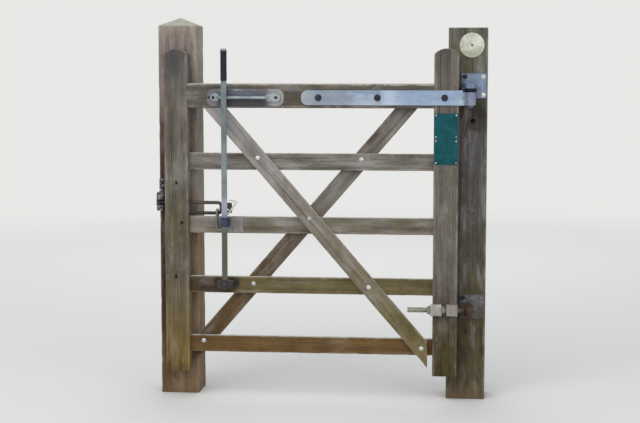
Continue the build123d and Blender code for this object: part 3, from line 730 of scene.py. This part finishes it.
def crossed_brace(node, seed):
    """A diagonal board, cut level under the top rail, and upright with a blunt tip at its foot."""
    low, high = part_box(node)
    top, foot = [Vector((x, middle_of(node)[1], z)) for x, z in brace_line(node)]
    along = (foot - top).normalized()
    across = Vector(BACK).cross(along)

    def cut_at(limit, axis):
        """Where the cut at one level or upright crosses the board, across its width."""
        return lambda v: (limit - top[axis] - v * across[axis]) / along[axis]

    beside = [cut_at(low.x, 0), cut_at(high.x, 0)]
    top_side, foot_side = beside[::-1] if node == "rear_brace" else beside
    level_top, level_foot = cut_at(high.z, 2), cut_at(low.z, 2)
    ends = (
        lambda v, w: np.maximum(level_top(v), top_side(v)),
        lambda v, w: np.minimum(level_foot(v), foot_side(v)),
    )
    size, arris = (brace_width, high.y - low.y), 0.002
    checks = drying_checks(seed, (0, 2), length=1.2, count=2, widest=0.0016, deepest=0.004)
    return sawn_timber(node + "_timber", top, along, across, size, ends, arris, checks, seed, board_step)


front_brace_finish = timber_material(
    "Weathered front brace", ((134, 130, 128), (166, 162, 160)), ((96, 84, 54), (126, 112, 76)),
    algae=0.3, damp_top=0.32, damp_fade=0.85, figured=0.45,
)
rear_brace_finish = timber_material(
    "Weathered rear brace", ((98, 92, 85), (128, 122, 113)), ((74, 54, 34), (100, 76, 50)),
    algae=0.3, damp_top=0.46, damp_fade=0.4,
)
for node, seed, finish in (("front_brace", 151, front_brace_finish), ("rear_brace", 166, rear_brace_finish)):
    fit(crossed_brace(node, seed), "leaf", finish, node)


# Top hinge. A 60 by 6 mm flat bar folded round the stile and the rail and forged into an eye, on a
# pin that hangs from a lug welded to a square plate. All of it is hot-dip galvanised and dull in
# patches, its blue a painted reflection of the sky, and three dark bolts hold the bar.


def zinc_group():
    """Zinc as it ages: spangles, dull patches, white bloom, grime and rust, from a place in metres."""
    grey = (0.3, 0.3, 0.3, 1.0)
    tree, given = node_group(
        "Zinc coat", Position=None, Dull=grey, Bright=grey, Bloom=0.3, Grime=0.2, Rust=0.1, Clean=0.6
    )
    place = given["Position"]
    spangle = add_node("TexVoronoi", {"Vector": place, "Scale": 120.0}).outputs["Color"]
    spangle = add_node("SeparateColor", {0: spangle}).outputs[0]
    wander = cloud(place, 13.0, 5.0, 0.6)
    mottle = cloud(place, 60.0, 6.0, 0.65)
    streaks = cloud(stretched(place, (70, 70, 12)), 1.0, 5.0, 0.6)
    body = tint(fade(wander, 0.34, 0.66), given["Dull"], given["Bright"])
    body = shade(body, fade(spangle, 0.0, 1.0, 0.94, 1.06))
    body = shade(body, fade(mottle, 0.3, 0.7, 0.9, 1.1))

    def covered(noise, amount):
        """Where noise rises above a level that falls as the amount grows."""
        return fade(plus(times(given[amount], 0.42), noise), 0.7, 0.86)

    bloom, grime, rust = covered(mottle, "Bloom"), covered(streaks, "Grime"), covered(wander, "Rust")
    rust = times(rust, fade(mottle, 0.25, 0.6, 0.55, 1.0))
    rusty = tint(fade(streaks, 0.35, 0.65), (64, 36, 28), (122, 72, 48))
    body = tint(times(bloom, 0.6), body, (206, 211, 210))
    body = tint(times(grime, 0.75), body, (62, 60, 56))
    body = tint(rust, body, rusty)
    cover = work_out("MAXIMUM", rust, times(work_out("MAXIMUM", bloom, grime), 0.7))
    metal = times(work_out("SUBTRACT", 1.0, cover), given["Clean"])
    rough = plus(times(cover, 0.3), fade(wander, 0.3, 0.7, 0.58, 0.4))
    relief = plus(times(cloud(place, 420.0, 3.0), 0.35), times(rust, mottle))
    return put_out(tree, Colour=body, Roughness=rough, Metal=metal, Relief=relief)


zinc_coat = zinc_group()


def steel_material(
    name, dull, bright, bloom=0.2, grime=0.1, rust=0.0, metal=0.45, sheen=0.5, drawn=1.0, stains=()
):
    """Weathered steelwork between a dull and a bright tone, with stains as the timbers have them.

    drawn below 1 stretches its pattern along X, as on a flat bar drawn that way.
    """
    material, shader, place = new_finish(name)
    coat = {"Position": stretched(place, (drawn, 1, 1)), "Dull": colour(*dull), "Bright": colour(*bright)}
    coat |= {"Bloom": bloom, "Grime": grime, "Rust": rust, "Clean": metal}
    coat = add_node("Group", coat, node_tree=zinc_coat).outputs
    uneven = cloud(place, 55.0, 5.0, 0.65)
    body = stained(coat["Colour"], place, stains, uneven, 0.03, uneven, (0.7, 1.25))
    made = {"Base Color": body, "Roughness": coat["Roughness"], "Metallic": coat["Metal"]}
    link_up(shader, made, coat["Relief"], strength=0.4, distance=0.0006, sheen=sheen)
    return material


def finish_solid(node, material, softened=0.0008):
    """Gives a solid its finish and rounds its sharp edges, as a thick zinc coat does."""
    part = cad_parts[node]
    for slot in part.material_slots:
        slot.material = material
    weld = part.modifiers.new("Joined edges", "WELD")
    weld.merge_threshold = 0.00001
    bevel = part.modifiers.new("Softened edges", "BEVEL")
    bevel.width, bevel.segments, bevel.limit_method = softened, 2, "ANGLE"
    bevel.angle_limit = math.radians(35)
    shading = part.modifiers.new("Even shading", "WEIGHTED_NORMAL")
    shading.keep_sharp = True


def hexagon_head(width, height):
    """A hexagon head or nut whose corners are chamfered, seated at Z 0."""
    corner, rim = width / 2 / math.cos(math.pi / 6), 0.46 * width
    reaches = (corner, 0.54 * width, 0.5 * width, rim)
    return turned([(corner, 0.0)] + [(reach, height - (reach - rim) / 2) for reach in reaches], 36, width)


def cup_head(radius, height):
    """The shallow domed head of a screw or a coach bolt, with a thin upright rim."""
    rise = 0.8 * height
    ball = (radius**2 + rise**2) / (2 * rise)
    angles = [math.asin(radius / ball) * share for share in (1.0, 0.8, 0.6, 0.4, 0.2, 0.05)]
    dome = [(ball * math.sin(angle), height - ball + ball * math.cos(angle)) for angle in angles]
    return turned([(radius, 0.0), *dome])


def square_head(width, height):
    """A square head with softened corners and an eased face."""
    points, faces = turned([(0.62 * width, 0.0), (0.62 * width, 0.8 * height), (0.55 * width, height)], 32)
    points[:, :2] = np.clip(points[:, :2], -width / 2, width / 2)
    return points, faces


def washer(radius, hole, thickness):
    """A flat washer with eased edges."""
    ease = thickness / 4
    outer = [(radius - ease, 0.0), (radius, ease), (radius, thickness - ease), (radius - ease, thickness)]
    return turned([(hole, 0.0), *outer, (hole, thickness)], 28, ring=True)


def thread_end(radius, length, pitch=0.0015):
    """The threaded end of a bolt, its tip chamfered."""
    profile, root = [(radius, 0.0)], 0.9 * radius
    for start in [turn_number * pitch for turn_number in range(int(length / pitch))]:
        crest, bottom, after = start + 0.3 * pitch, start + 0.75 * pitch, start + pitch
        profile += [(radius, crest), (root, bottom), (radius, after)]
    return turned([*profile, (0.8 * radius, length)], sides=20)


def nut_behind(place, width, radius, spin):
    """A washer, a nut and the bolt's end that stands out of it, behind the leaf."""
    thick = 0.0022
    seat = np.array(place) + np.array(BACK) * thick
    return [
        placed(washer(0.85 * width, radius, thick), place, BACK),
        placed(hexagon_head(width, 0.52 * width), seat, BACK, spin),
        placed(thread_end(radius, 0.78 * width), seat, BACK),
    ]


def fasten(name, forms, body, finish, crease=32):
    """Small pieces as one object, fitted where they are."""
    fit(gathered(name, forms, crease), body, finish)


# The blue in the strap's and the hook plate's tones is a painted reflection of the sky.
strap_finish = steel_material(
    "Galvanised strap with painted sky reflection", (122, 137, 161), (170, 180, 192), bloom=0.3, grime=0.15, drawn=0.2,
    stains=[
        ((126, 136, 148), 0.75, [(0, -0.64, -0.47, 0.03)]),
        ((148, 152, 154), 0.7, [(0, -0.70, -0.63, 0.02)]),
        # The pale blue patch and the bluish run after it are painted sky reflection.
        ((178, 194, 214), 0.7, [(0, -0.34, -0.29, 0.02)]),
        ((134, 154, 182), 0.7, [(0, -0.27, -0.03, 0.03)]),
        # At the eye: a dark band that is a painted shadow under the lug and the bush, then the barrel
        # painted darker, as shade on its curve, in a lilac grey.
        ((86, 92, 112), 0.85, [(0, -0.018, 0.004, 0.009)]),
        ((128, 129, 144), 0.7, [(0, 0.006, ANYWHERE, 0.006)]),
    ],
)
plate_finish = steel_material(
    "Galvanised hook plate with painted sky reflection", (98, 113, 136), (128, 141, 162), bloom=0.25, grime=0.25, rust=0.05
)
bush_finish = steel_material("Dark bush", (16, 18, 28), (30, 32, 42), bloom=0.0, metal=0.2, sheen=0.2)
dark_bolt_finish = steel_material(
    "Dark bolt heads", (28, 28, 38), (50, 47, 54), bloom=0.05, rust=0.2, metal=0.2, sheen=0.25
)
bright_bolt_finish = steel_material(
    "Bright bolt heads", (158, 162, 163), (214, 217, 214), bloom=0.25, grime=0.4, metal=0.6
)
finish_solid("top_strap", strap_finish, softened=0.0014)
finish_solid("top_hook_plate", plate_finish, softened=0.0010)
finish_solid("top_hook_pin", plate_finish)
finish_solid("top_hook_bush", bush_finish, softened=0.0004)

steel_thickness = 0.006
plate_face = post_front - steel_thickness
strap_z = middle_of("top_strap")[2]
strap_front, strap_back = leaf_front - steel_thickness, stile_high.y + steel_thickness
washer_thickness = 0.0015
strap_bolts = []
for spin, x in zip((0.2, 0.05, 0.5), (-0.600, -0.361, -0.092)):
    seat = (x, strap_front - washer_thickness, strap_z)
    strap_bolts.append(placed(washer(0.0135, 0.005, washer_thickness), (x, strap_front, strap_z), FRONT))
    strap_bolts.append(placed(square_head(0.019, 0.008), seat, FRONT, spin))
    strap_bolts += nut_behind((x, strap_back, strap_z), width=0.017, radius=0.005, spin=spin)
fasten("strap_bolts", strap_bolts, "leaf", dark_bolt_finish)


def plate_screws(hinge, spins, finish):
    """A coach screw in each corner of a hook plate, the one at the top left in the dark bolt finish."""
    from_middle, thick = 0.037, 0.0012
    middle_x, _, middle_z = middle_of(hinge + "_plate")
    forms = []
    for spin, (side, upward) in zip(spins, [(-1, 1), (1, 1), (-1, -1), (1, -1)]):
        x, z = middle_x + side * from_middle, middle_z + upward * from_middle
        forms.append(placed(washer(0.0095, 0.004, thick), (x, plate_face, z), FRONT))
        forms.append(placed(hexagon_head(0.013, 0.0052), (x, plate_face - thick, z), FRONT, spin))
    fasten(hinge + "_dark_screw", forms[:2], "posts", dark_bolt_finish)
    fasten(hinge + "_screws", forms[2:], "posts", finish)


plate_screws("top_hook", (0.3, 0.1, 0.7, 0.9), bright_bolt_finish)


def weld_bead(path, radius, seed):
    """A run of weld along a path: overlapping ripples laid in a corner."""
    path = np.array(path, float)
    step = np.linalg.norm(np.diff(path, axis=0), axis=1)
    reach = np.concatenate([[0], np.cumsum(step)])
    count, sides = max(8, int(reach[-1] / (0.35 * radius))), 8
    along = np.linspace(0, reach[-1], count)
    centre = np.stack([np.interp(along, reach, path[:, axis]) for axis in range(3)], axis=1)
    random = np.random.default_rng(seed)
    ripple = np.abs(np.sin(along / (0.75 * radius) * math.pi))
    swell = radius * (0.86 + 0.14 * ripple + random.uniform(-0.05, 0.05, count))
    swell[0] = swell[-1] = 0.3 * radius
    direction = np.gradient(centre, axis=0)
    direction /= np.linalg.norm(direction, axis=1)[:, None]
    side = np.cross(direction, np.array([0.31, 0.52, 0.79]))
    side /= np.linalg.norm(side, axis=1)[:, None]
    other = np.cross(direction, side)
    angle = (np.arange(sides) * 2 * math.pi / sides)[None, :, None]
    round_path = np.cos(angle) * side[:, None] + np.sin(angle) * other[:, None]
    rings = centre[:, None] + swell[:, None, None] * round_path
    return rings.reshape(-1, 3), closed(count, sides)


pin_low, pin_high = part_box("top_hook_pin")
pin_x, pin_radius = middle_of("top_hook_pin")[0], (pin_high.x - pin_low.x) / 2
lug_half, lug_thickness = 0.025, 0.018
top_welds = []
for seed, z in ((1, pin_high.z), (2, pin_high.z + lug_thickness)):
    lug_edge = [(x, plate_face, z) for x in (pin_x - lug_half, pin_x + lug_half)]
    top_welds.append(weld_bead(lug_edge, radius=0.0032, seed=seed))
fasten("top_hook_welds", top_welds, "posts", plate_finish, crease=80)


# Bottom hinge. A cranked eye bolt, threaded along its tail, that two square blocks clamp to the
# stile, with a nut each side of the outer block. Its eye sits on a rusty pin bent up from a plate.

lower_half = (2, -ANYWHERE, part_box("bottom_hook_plate")[0].z + 0.05, 0.01)
bottom_plate_finish = steel_material(
    "Dull hook plate", (76, 76, 80), (110, 108, 108), bloom=0.3, grime=0.5, rust=0.3,
    stains=[
        ((86, 74, 62), 0.7, [lower_half]),
        ((92, 58, 42), 0.7, [(0, 0.0, 0.022, 0.006), lower_half]),
    ],
)
rusty_finish = steel_material(
    "Rusty pin", (50, 38, 34), (70, 52, 46), bloom=0.0, grime=0.3, rust=0.6, metal=0.2, sheen=0.3
)
eye_bolt_finish = steel_material(
    "Weathered eye bolt", (104, 104, 94), (150, 150, 136), grime=0.3, rust=0.25, sheen=0.3,
    stains=[((70, 44, 34), 0.9, [(0, -0.03, ANYWHERE, 0.015)])],
)
clamp_finish = steel_material(
    "Pale clamp blocks", (140, 136, 126), (172, 168, 156), bloom=0.4, grime=0.35, metal=0.1,
    stains=[((128, 122, 110), 0.75, [(0, -0.09, ANYWHERE, 0.01)])],
)
finish_solid("bottom_hook_plate", bottom_plate_finish, softened=0.0010)
finish_solid("bottom_hook_pin", rusty_finish)
finish_solid("bottom_eye_bolt", eye_bolt_finish)
finish_solid("bottom_clamp_blocks", clamp_finish, softened=0.0016)
finish_solid("bottom_eye_nuts", eye_bolt_finish, softened=0.0010)
plate_screws("bottom_hook", (0.5, 0.2, 0.8, 0.4), bottom_plate_finish)
root_radius, root_z = pin_radius + 0.001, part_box("bottom_hook_pin")[0].z + pin_radius
root_path = [
    (pin_x + root_radius * math.cos(turn), plate_face, root_z + root_radius * math.sin(turn))
    for turn in np.linspace(0, 2 * math.pi, 24)
]
root_weld = weld_bead(root_path, radius=0.003, seed=5)
fasten("bottom_hook_weld", [root_weld], "posts", rusty_finish, crease=80)


def screw_thread(radius, depth, pitch, length, sides=28):
    """A thread wound along Z."""
    rows = int(length / (pitch / 6)) + 1
    turn = np.arange(sides) * 2 * math.pi / sides
    height = np.linspace(0, length, rows)[:, None]
    wave = np.abs((height / pitch - turn[None] / (2 * math.pi)) % 1 * 2 - 1)
    reach = radius - depth * np.clip(wave * 1.3 - 0.15, 0, 1)
    points = np.stack([reach * np.cos(turn), reach * np.sin(turn), height + 0 * reach], axis=2)
    return points.reshape(-1, 3), closed(rows, sides)


eye_low, eye_bolt_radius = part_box("bottom_eye_bolt")[0], 0.010
tail_length = heel_edge - 0.008 - eye_low.x
tail_thread = screw_thread(radius=0.0106, depth=0.0011, pitch=0.0028, length=tail_length)
tail_start = (eye_low.x - 0.0004, eye_low.y + eye_bolt_radius, middle_of("bottom_eye_bolt")[2])
tail_thread = placed(tail_thread, tail_start, RIGHT)
fasten("eye_bolt_thread", [tail_thread], "leaf", eye_bolt_finish, crease=50)


# Brace bolts. Galvanised coach bolts with domed heads, which stay bright, where each brace crosses a
# rail: through the front brace and the rail, and for the rear brace from the rail's front. Behind,
# each has a washer and a nut.

board_low, board_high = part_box("second_rail")
front_brace_face, rear_brace_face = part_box("front_brace")[0].y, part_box("rear_brace")[1].y
crossing_z = 0.752


def cup_screws(radius, height, places):
    """Domed heads that face the front."""
    return [placed(cup_head(radius, height), place, FRONT) for place in places]


brace_bolts = []
for node, face, heights in (
    ("front_brace", front_brace_face, (0.998, crossing_z, 0.473, 0.224)),
    ("rear_brace", board_low.y, (0.993, 0.478, 0.237)),
):
    (top_x, top_z), (foot_x, foot_z) = brace_line(node)
    for z in heights:
        x = top_x + (foot_x - top_x) * (top_z - z) / (top_z - foot_z)
        through_rear = node == "rear_brace" or z == crossing_z
        brace_bolts += cup_screws(0.0095, 0.0050, [(x, face, z)])
        behind = rear_brace_face if through_rear else board_high.y
        brace_bolts += nut_behind((x, behind, z), width=0.015, radius=0.0045, spin=z)
fasten("brace_bolts", brace_bolts, "leaf", bright_bolt_finish)
recess_seat = leaf_front + recess_depth + 0.0005
recessed = [placed(hexagon_head(0.009, 0.004), (x, recess_seat, z), FRONT) for x, z in recess_places]
fasten("recessed_bolts", recessed, "leaf", dark_bolt_finish)


# Lever guide. A long thin plate with rounded ends on the top rail, and a round bar in front of it
# with flat ears, along which the lever runs. The plate is grimy, and its middle is painted bluish
# grey above the bar and near black below it, a painted shadow of the bar.

guide_low, guide_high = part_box("guide_backplate")
rod_low, rod_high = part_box("guide_rod")
guide_z = middle_of("guide_backplate")[2]
guide_start = guide_low.x + 0.05
guide_finish = steel_material(
    "Grimy guide plate with painted shadow", (104, 100, 105), (140, 135, 136), grime=0.45, rust=0.12, drawn=0.4,
    stains=[
        ((80, 86, 100), 0.8, [(0, guide_start, guide_high.x - 0.07, 0.02), (2, 1.2, 1.272, 0.004)]),
        ((152, 149, 148), 0.7, [(0, guide_high.x - 0.055, ANYWHERE, 0.015)]),
        # Near black under the bar: a painted shadow of the bar.
        ((54, 54, 58), 0.9, [(0, guide_start, guide_high.x - 0.075, 0.02), (2, 1.0, 1.240, 0.006)]),
    ],
)
rod_finish = steel_material("Worn guide rod", (130, 140, 146), (166, 176, 180), bloom=0.1, grime=0.25)
finish_solid("guide_backplate", guide_finish, softened=0.0006)
finish_solid("guide_rod", rod_finish)
ear_face = guide_low.y - steel_thickness
ear_places = [(x, ear_face, guide_z) for x in (rod_low.x + 0.011, rod_high.x - 0.018)]
guide_screws = cup_screws(0.006, 0.003, ear_places)
guide_screws += cup_screws(0.005, 0.0025, [(guide_low.x + 0.0085, guide_low.y, guide_z)])
fasten("guide_screws", guide_screws, "leaf", dark_bolt_finish)


# Lever. A 22 by 8 mm bar that a rider reaches from the saddle, pivoted in a clevis on the fourth rail,
# with a moulded grip, a loop round the guide bar, a collar that slides over a plate on the middle
# rail, and a bent rod for the return spring.

lever_finish = steel_material(
    "Dull lever bar", (100, 110, 113), (124, 134, 136), bloom=0.15, grime=0.2,
    stains=[
        ((76, 82, 58), 0.85, [(2, -ANYWHERE, 0.72, 0.05)]),
        ((158, 164, 178), 0.8, [(2, 0.762, 0.835, 0.012)]),
    ],
)
dark_finish = steel_material(
    "Dark pivot steel", (36, 34, 38), (64, 58, 58), bloom=0.1, grime=0.3, rust=0.25, metal=0.2, sheen=0.25
)
collar_finish = steel_material(
    "Blue-black collar", (38, 42, 62), (66, 72, 96), bloom=0.05, grime=0.15, metal=0.3, sheen=0.3
)
wear_finish = steel_material(
    "Scuffed wear plate", (122, 116, 112), (150, 144, 140), bloom=0.3, grime=0.25, metal=0.2
)
thin_finish = steel_material("Thin galvanised rod", (178, 180, 170), (212, 212, 200), bloom=0.3, metal=0.2)
for node, finish, softened in (
    ("lever_bar", lever_finish, 0.0010),
    ("lever_guide_lug", lever_finish, 0.0006),
    ("lever_collar", collar_finish, 0.0010),
    ("lever_drive_pin", dark_finish, 0.0008),
    ("lever_hook", thin_finish, 0.0008),
    ("lever_wear_plate", wear_finish, 0.0005),
    ("lever_pivot_bracket", dark_finish, 0.0010),
    ("lever_pivot_pin", dark_finish, 0.0008),
):
    finish_solid(node, finish, softened)
foot_low, foot_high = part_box("lever_pivot_bracket")
foot_thickness = 0.005
foot_face, pivot_z = board_low.y - foot_thickness, middle_of("lever_pivot_bracket")[2]
foot_places = [(x, foot_face, pivot_z) for x in (foot_low.x + 0.009, foot_high.x - 0.009)]
foot_screws = cup_screws(0.005, 0.0028, foot_places)
fasten("pivot_foot_screws", foot_screws, "leaf", dark_finish)


def corner_places(node, inset):
    """The four corners of a plate's front face, an inset in from its edges."""
    low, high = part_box(node)
    return [
        (x, low.y, z) for x in (low.x + inset, high.x - inset) for z in (low.z + inset, high.z - inset)
    ]


wear_screws = cup_screws(0.004, 0.0008, corner_places("lever_wear_plate", 0.008))
fasten("wear_plate_screws", wear_screws, "leaf", wear_finish)

grip_low, grip_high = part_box("lever_grip")
grip_height = grip_high.z - grip_low.z


def moulded_grip():
    """A ribbed hand grip: a rounded oblong section, a flange at its foot and a domed top."""
    sides, rows, squareness = 48, 150, 0.55
    rib_pitch, rib_depth, flange, smooth_top = 0.008, 0.0011, 0.010, 0.016
    dome, eased = 0.006, 0.0015
    turn = np.arange(sides) * 2 * math.pi / sides
    half_width, half_depth = (grip_high.x - grip_low.x) / 2, (grip_high.y - grip_low.y) / 2
    across = np.sign(np.cos(turn)) * np.abs(np.cos(turn)) ** squareness * half_width
    deep = np.sign(np.sin(turn)) * np.abs(np.sin(turn)) ** squareness * half_depth
    rings = []
    for height in np.linspace(0, grip_height, rows):
        rib = 0.5 - 0.5 * math.cos(2 * math.pi * height / rib_pitch)
        ribbed = flange < height < grip_height - smooth_top
        inset = rib_depth * (rib**0.6 if ribbed else 0.3)
        to_top = grip_height - height
        if to_top < dome:
            inset += dome - math.sqrt(max(0.0, dome**2 - (dome - to_top) ** 2))
        inset += max(0.0, eased - height)
        narrowed = [across * (1 - inset / half_width), deep * (1 - inset / half_depth), height + 0 * turn]
        rings.append(np.stack(narrowed, axis=1))
    return np.concatenate(rings), closed(rows, sides)


def moulded_material(name, body_tone, faded_tone, stains=(), rough=0.55):
    """Plastic or paint that has faded in patches and holds a little dust."""
    material, shader, place = new_finish(name)
    patch, grain = cloud(place, 30.0, 5.0, 0.6), cloud(place, 900.0, 2.0)
    body = tint(fade(patch, 0.35, 0.7), body_tone, faded_tone)
    body = stained(body, place, stains, patch, 0.02, patch, (1.0, 1.0))
    made = {"Base Color": body, "Roughness": fade(patch, 0.3, 0.7, rough - 0.08, rough + 0.12)}
    link_up(shader, made, grain, strength=0.25, distance=0.0003, sheen=0.15)
    return material


grip_stain = ((150, 152, 156), 0.8, [(2, grip_high.z - 0.008, ANYWHERE, 0.003)])
grip_finish = moulded_material("Faded grip", (27, 27, 40), (44, 44, 60), [grip_stain])
grip_foot = (middle_of("lever_grip")[0], middle_of("lever_grip")[1], grip_low.z)
grip = gathered("moulded_grip", [placed(moulded_grip(), grip_foot, UP)], crease=60)
fit(grip, "lever", grip_finish, "lever_grip")


# Bolt. A 14 mm round bar bent back on itself, with a slotted plate welded in its loop for the lever's
# pin, and a round bar bent over the rail that keeps its short leg down. Dark, and rusty in patches.

bolt_finish = steel_material(
    "Dark bolt", (50, 46, 46), (78, 70, 68), bloom=0.1, grime=0.2, rust=0.3, metal=0.3, sheen=0.3
)
staple_finish = steel_material("Rail staple", (112, 112, 104), (142, 142, 132), grime=0.2, rust=0.1)
finish_solid("latch_bolt", bolt_finish)
finish_solid("bolt_yoke", bolt_finish)
finish_solid("bolt_staple", staple_finish)


# Catch. Steel jaws, stop and tooth welded to a plate on the latch post's face. The zinc has gone dark
# and purple brown, with pale patches.

catch_finish = steel_material(
    "Dark catch", (58, 52, 58), (104, 96, 102), bloom=0.5, grime=0.5, rust=0.25, metal=0.25, sheen=0.3
)
for piece in ("plate", "jaws", "stop", "tooth"):
    finish_solid("latch_catch_" + piece, catch_finish, softened=0.0012)
catch_low, catch_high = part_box("latch_catch_plate")
catch_x = middle_of("latch_catch_plate")[0]
catch_screws = [
    placed(hexagon_head(0.013, 0.005), (catch_x, catch_low.y, catch_high.z - drop), FRONT, drop)
    for drop in (0.013, 0.037)
]
fasten("catch_screws", catch_screws, "posts", dark_bolt_finish)


# Waymark disc. A 100 mm moulded plastic disc nailed to the hinge post, cream and a little yellowed.
# Its rim and an inner ring stand up, and its face is left bare.

disc_low, disc_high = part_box("waymark_disc")
disc_radius = (disc_high.x - disc_low.x) / 2
disc_thickness = disc_high.y - disc_low.y
disc_x, disc_z = middle_of("waymark_disc")[0], middle_of("waymark_disc")[2]
face = disc_thickness - 0.0012
raised = face + 0.0006
disc_profile = [(disc_radius, 0.0)] + [
    (disc_radius - inset, height)
    for inset, height in (
        (0.0, disc_thickness - 0.0008), (0.0008, disc_thickness), (0.0028, disc_thickness), (0.0036, face),
        (0.0130, face), (0.0134, raised), (0.0146, raised), (0.0150, face), (disc_radius - 0.001, face),
    )
]
disc_stain = ((150, 154, 128), 0.5, [(2, disc_low.z + 0.004, disc_low.z + 0.024, 0.012)])
disc_finish = moulded_material("Cream disc", (168, 171, 154), (208, 210, 196), [disc_stain], rough=0.5)
disc_form = placed(turned(disc_profile, sides=96), (disc_x, disc_high.y, disc_z), FRONT)
disc = gathered("moulded_disc", [disc_form])
fit(disc, "posts", disc_finish, "waymark_disc")
nail = cup_screws(0.0042, 0.0012, [(disc_x, disc_high.y - face, disc_z)])
fasten("disc_nail", nail, "posts", dark_bolt_finish)


# Notices. Two thin painted plates with rounded corners, one above the other on the heel stile, deep
# teal and left bare, each held by four small screws.

notice_finish = moulded_material("Teal notice plates", (8, 66, 72), (18, 82, 88), rough=0.45)
notice_screws = []
for node in ("upper_notice", "lower_notice"):
    finish_solid(node, notice_finish, softened=0.0003)
    notice_screws += cup_screws(0.0028, 0.0012, corner_places(node, 0.0075))
fasten("notice_screws", notice_screws, "leaf", bright_bolt_finish)


# Studio. A pale floor and an even pale surround, three large soft lamps, the strongest of them over
# the left shoulder, and the camera where the photograph was taken from, with a longer lens.

floor_reach = 30.0
floor_clear = 1.4
background = colour(232, 232, 230)


def shows_background(tree):
    """1 where a ray comes from the camera, also by way of metal or glass."""
    ray = add_node("LightPath", {}, tree).outputs
    return work_out("MAXIMUM", ray["Is Camera Ray"], ray["Is Glossy Ray"], ray["Is Transmission Ray"])


bpy.ops.mesh.primitive_grid_add(x_subdivisions=8, y_subdivisions=8, size=2 * floor_reach)
floor = bpy.context.object
floor.name = "floor"
floor_finish, shader, place = new_finish("Pale floor")
tree = floor_finish.node_tree
shader.inputs["Base Color"].default_value = colour(222, 221, 218)
shader.inputs["Roughness"].default_value = 0.9
shader.inputs["Specular IOR Level"].default_value = 0.1
reach = add_node("VectorMath", {0: place}, operation="LENGTH").outputs["Value"]
far = times(fade(reach, floor_clear, 6 * floor_clear), shows_background(tree))
glow = add_node("Emission", {"Color": background, "Strength": 1.0}, tree)
mix = add_node("MixShader", {0: far, 1: shader.outputs[0], 2: glow.outputs[0]})
tree.links.new(mix.outputs[0], tree.nodes["Material Output"].inputs["Surface"])
floor.data.materials.append(floor_finish)

world = bpy.data.worlds.new("Soft surround")
bpy.context.scene.world = world
world.use_nodes = True
tree = world.node_tree
around = add_node("Background", {"Color": colour(236, 240, 246), "Strength": 0.70}, tree)
behind = add_node("Background", {"Color": background, "Strength": 1.0}, tree)
mix = add_node("MixShader", {0: shows_background(tree), 1: around.outputs[0], 2: behind.outputs[0]})
tree.links.new(mix.outputs[0], tree.nodes["World Output"].inputs["Surface"])


def aimed(name, data, place, aim):
    """A lamp or the camera, set in its place and turned towards its aim."""
    holder = bpy.data.objects.new(name, data)
    holder.location = place
    holder.rotation_mode = "QUATERNION"
    holder.rotation_quaternion = (Vector(aim) - Vector(place)).to_track_quat("-Z", "Y")
    bpy.context.scene.collection.objects.link(holder)
    return holder


for name, place, size, power in (
    ("key", (-2.4, -4.6, 4.4), 5.0, 190.0),
    ("fill", (3.4, -4.6, 2.6), 4.0, 70.0),
    ("back", (-1.0, 4.6, 3.6), 4.0, 80.0),
):
    lamp = bpy.data.lights.new(name, "AREA")
    lamp.size, lamp.energy = size, power
    aimed(name, lamp, place, (-0.6, -0.1, 0.8))

lens = bpy.data.cameras.new("camera")
lens.sensor_width, lens.lens = 36.0, 82.0
bpy.context.scene.camera = aimed("camera", lens, (0.0, -6.032, 1.373), (-0.600, -0.10, 0.775))
bpy.context.scene.view_settings.view_transform = "Standard"
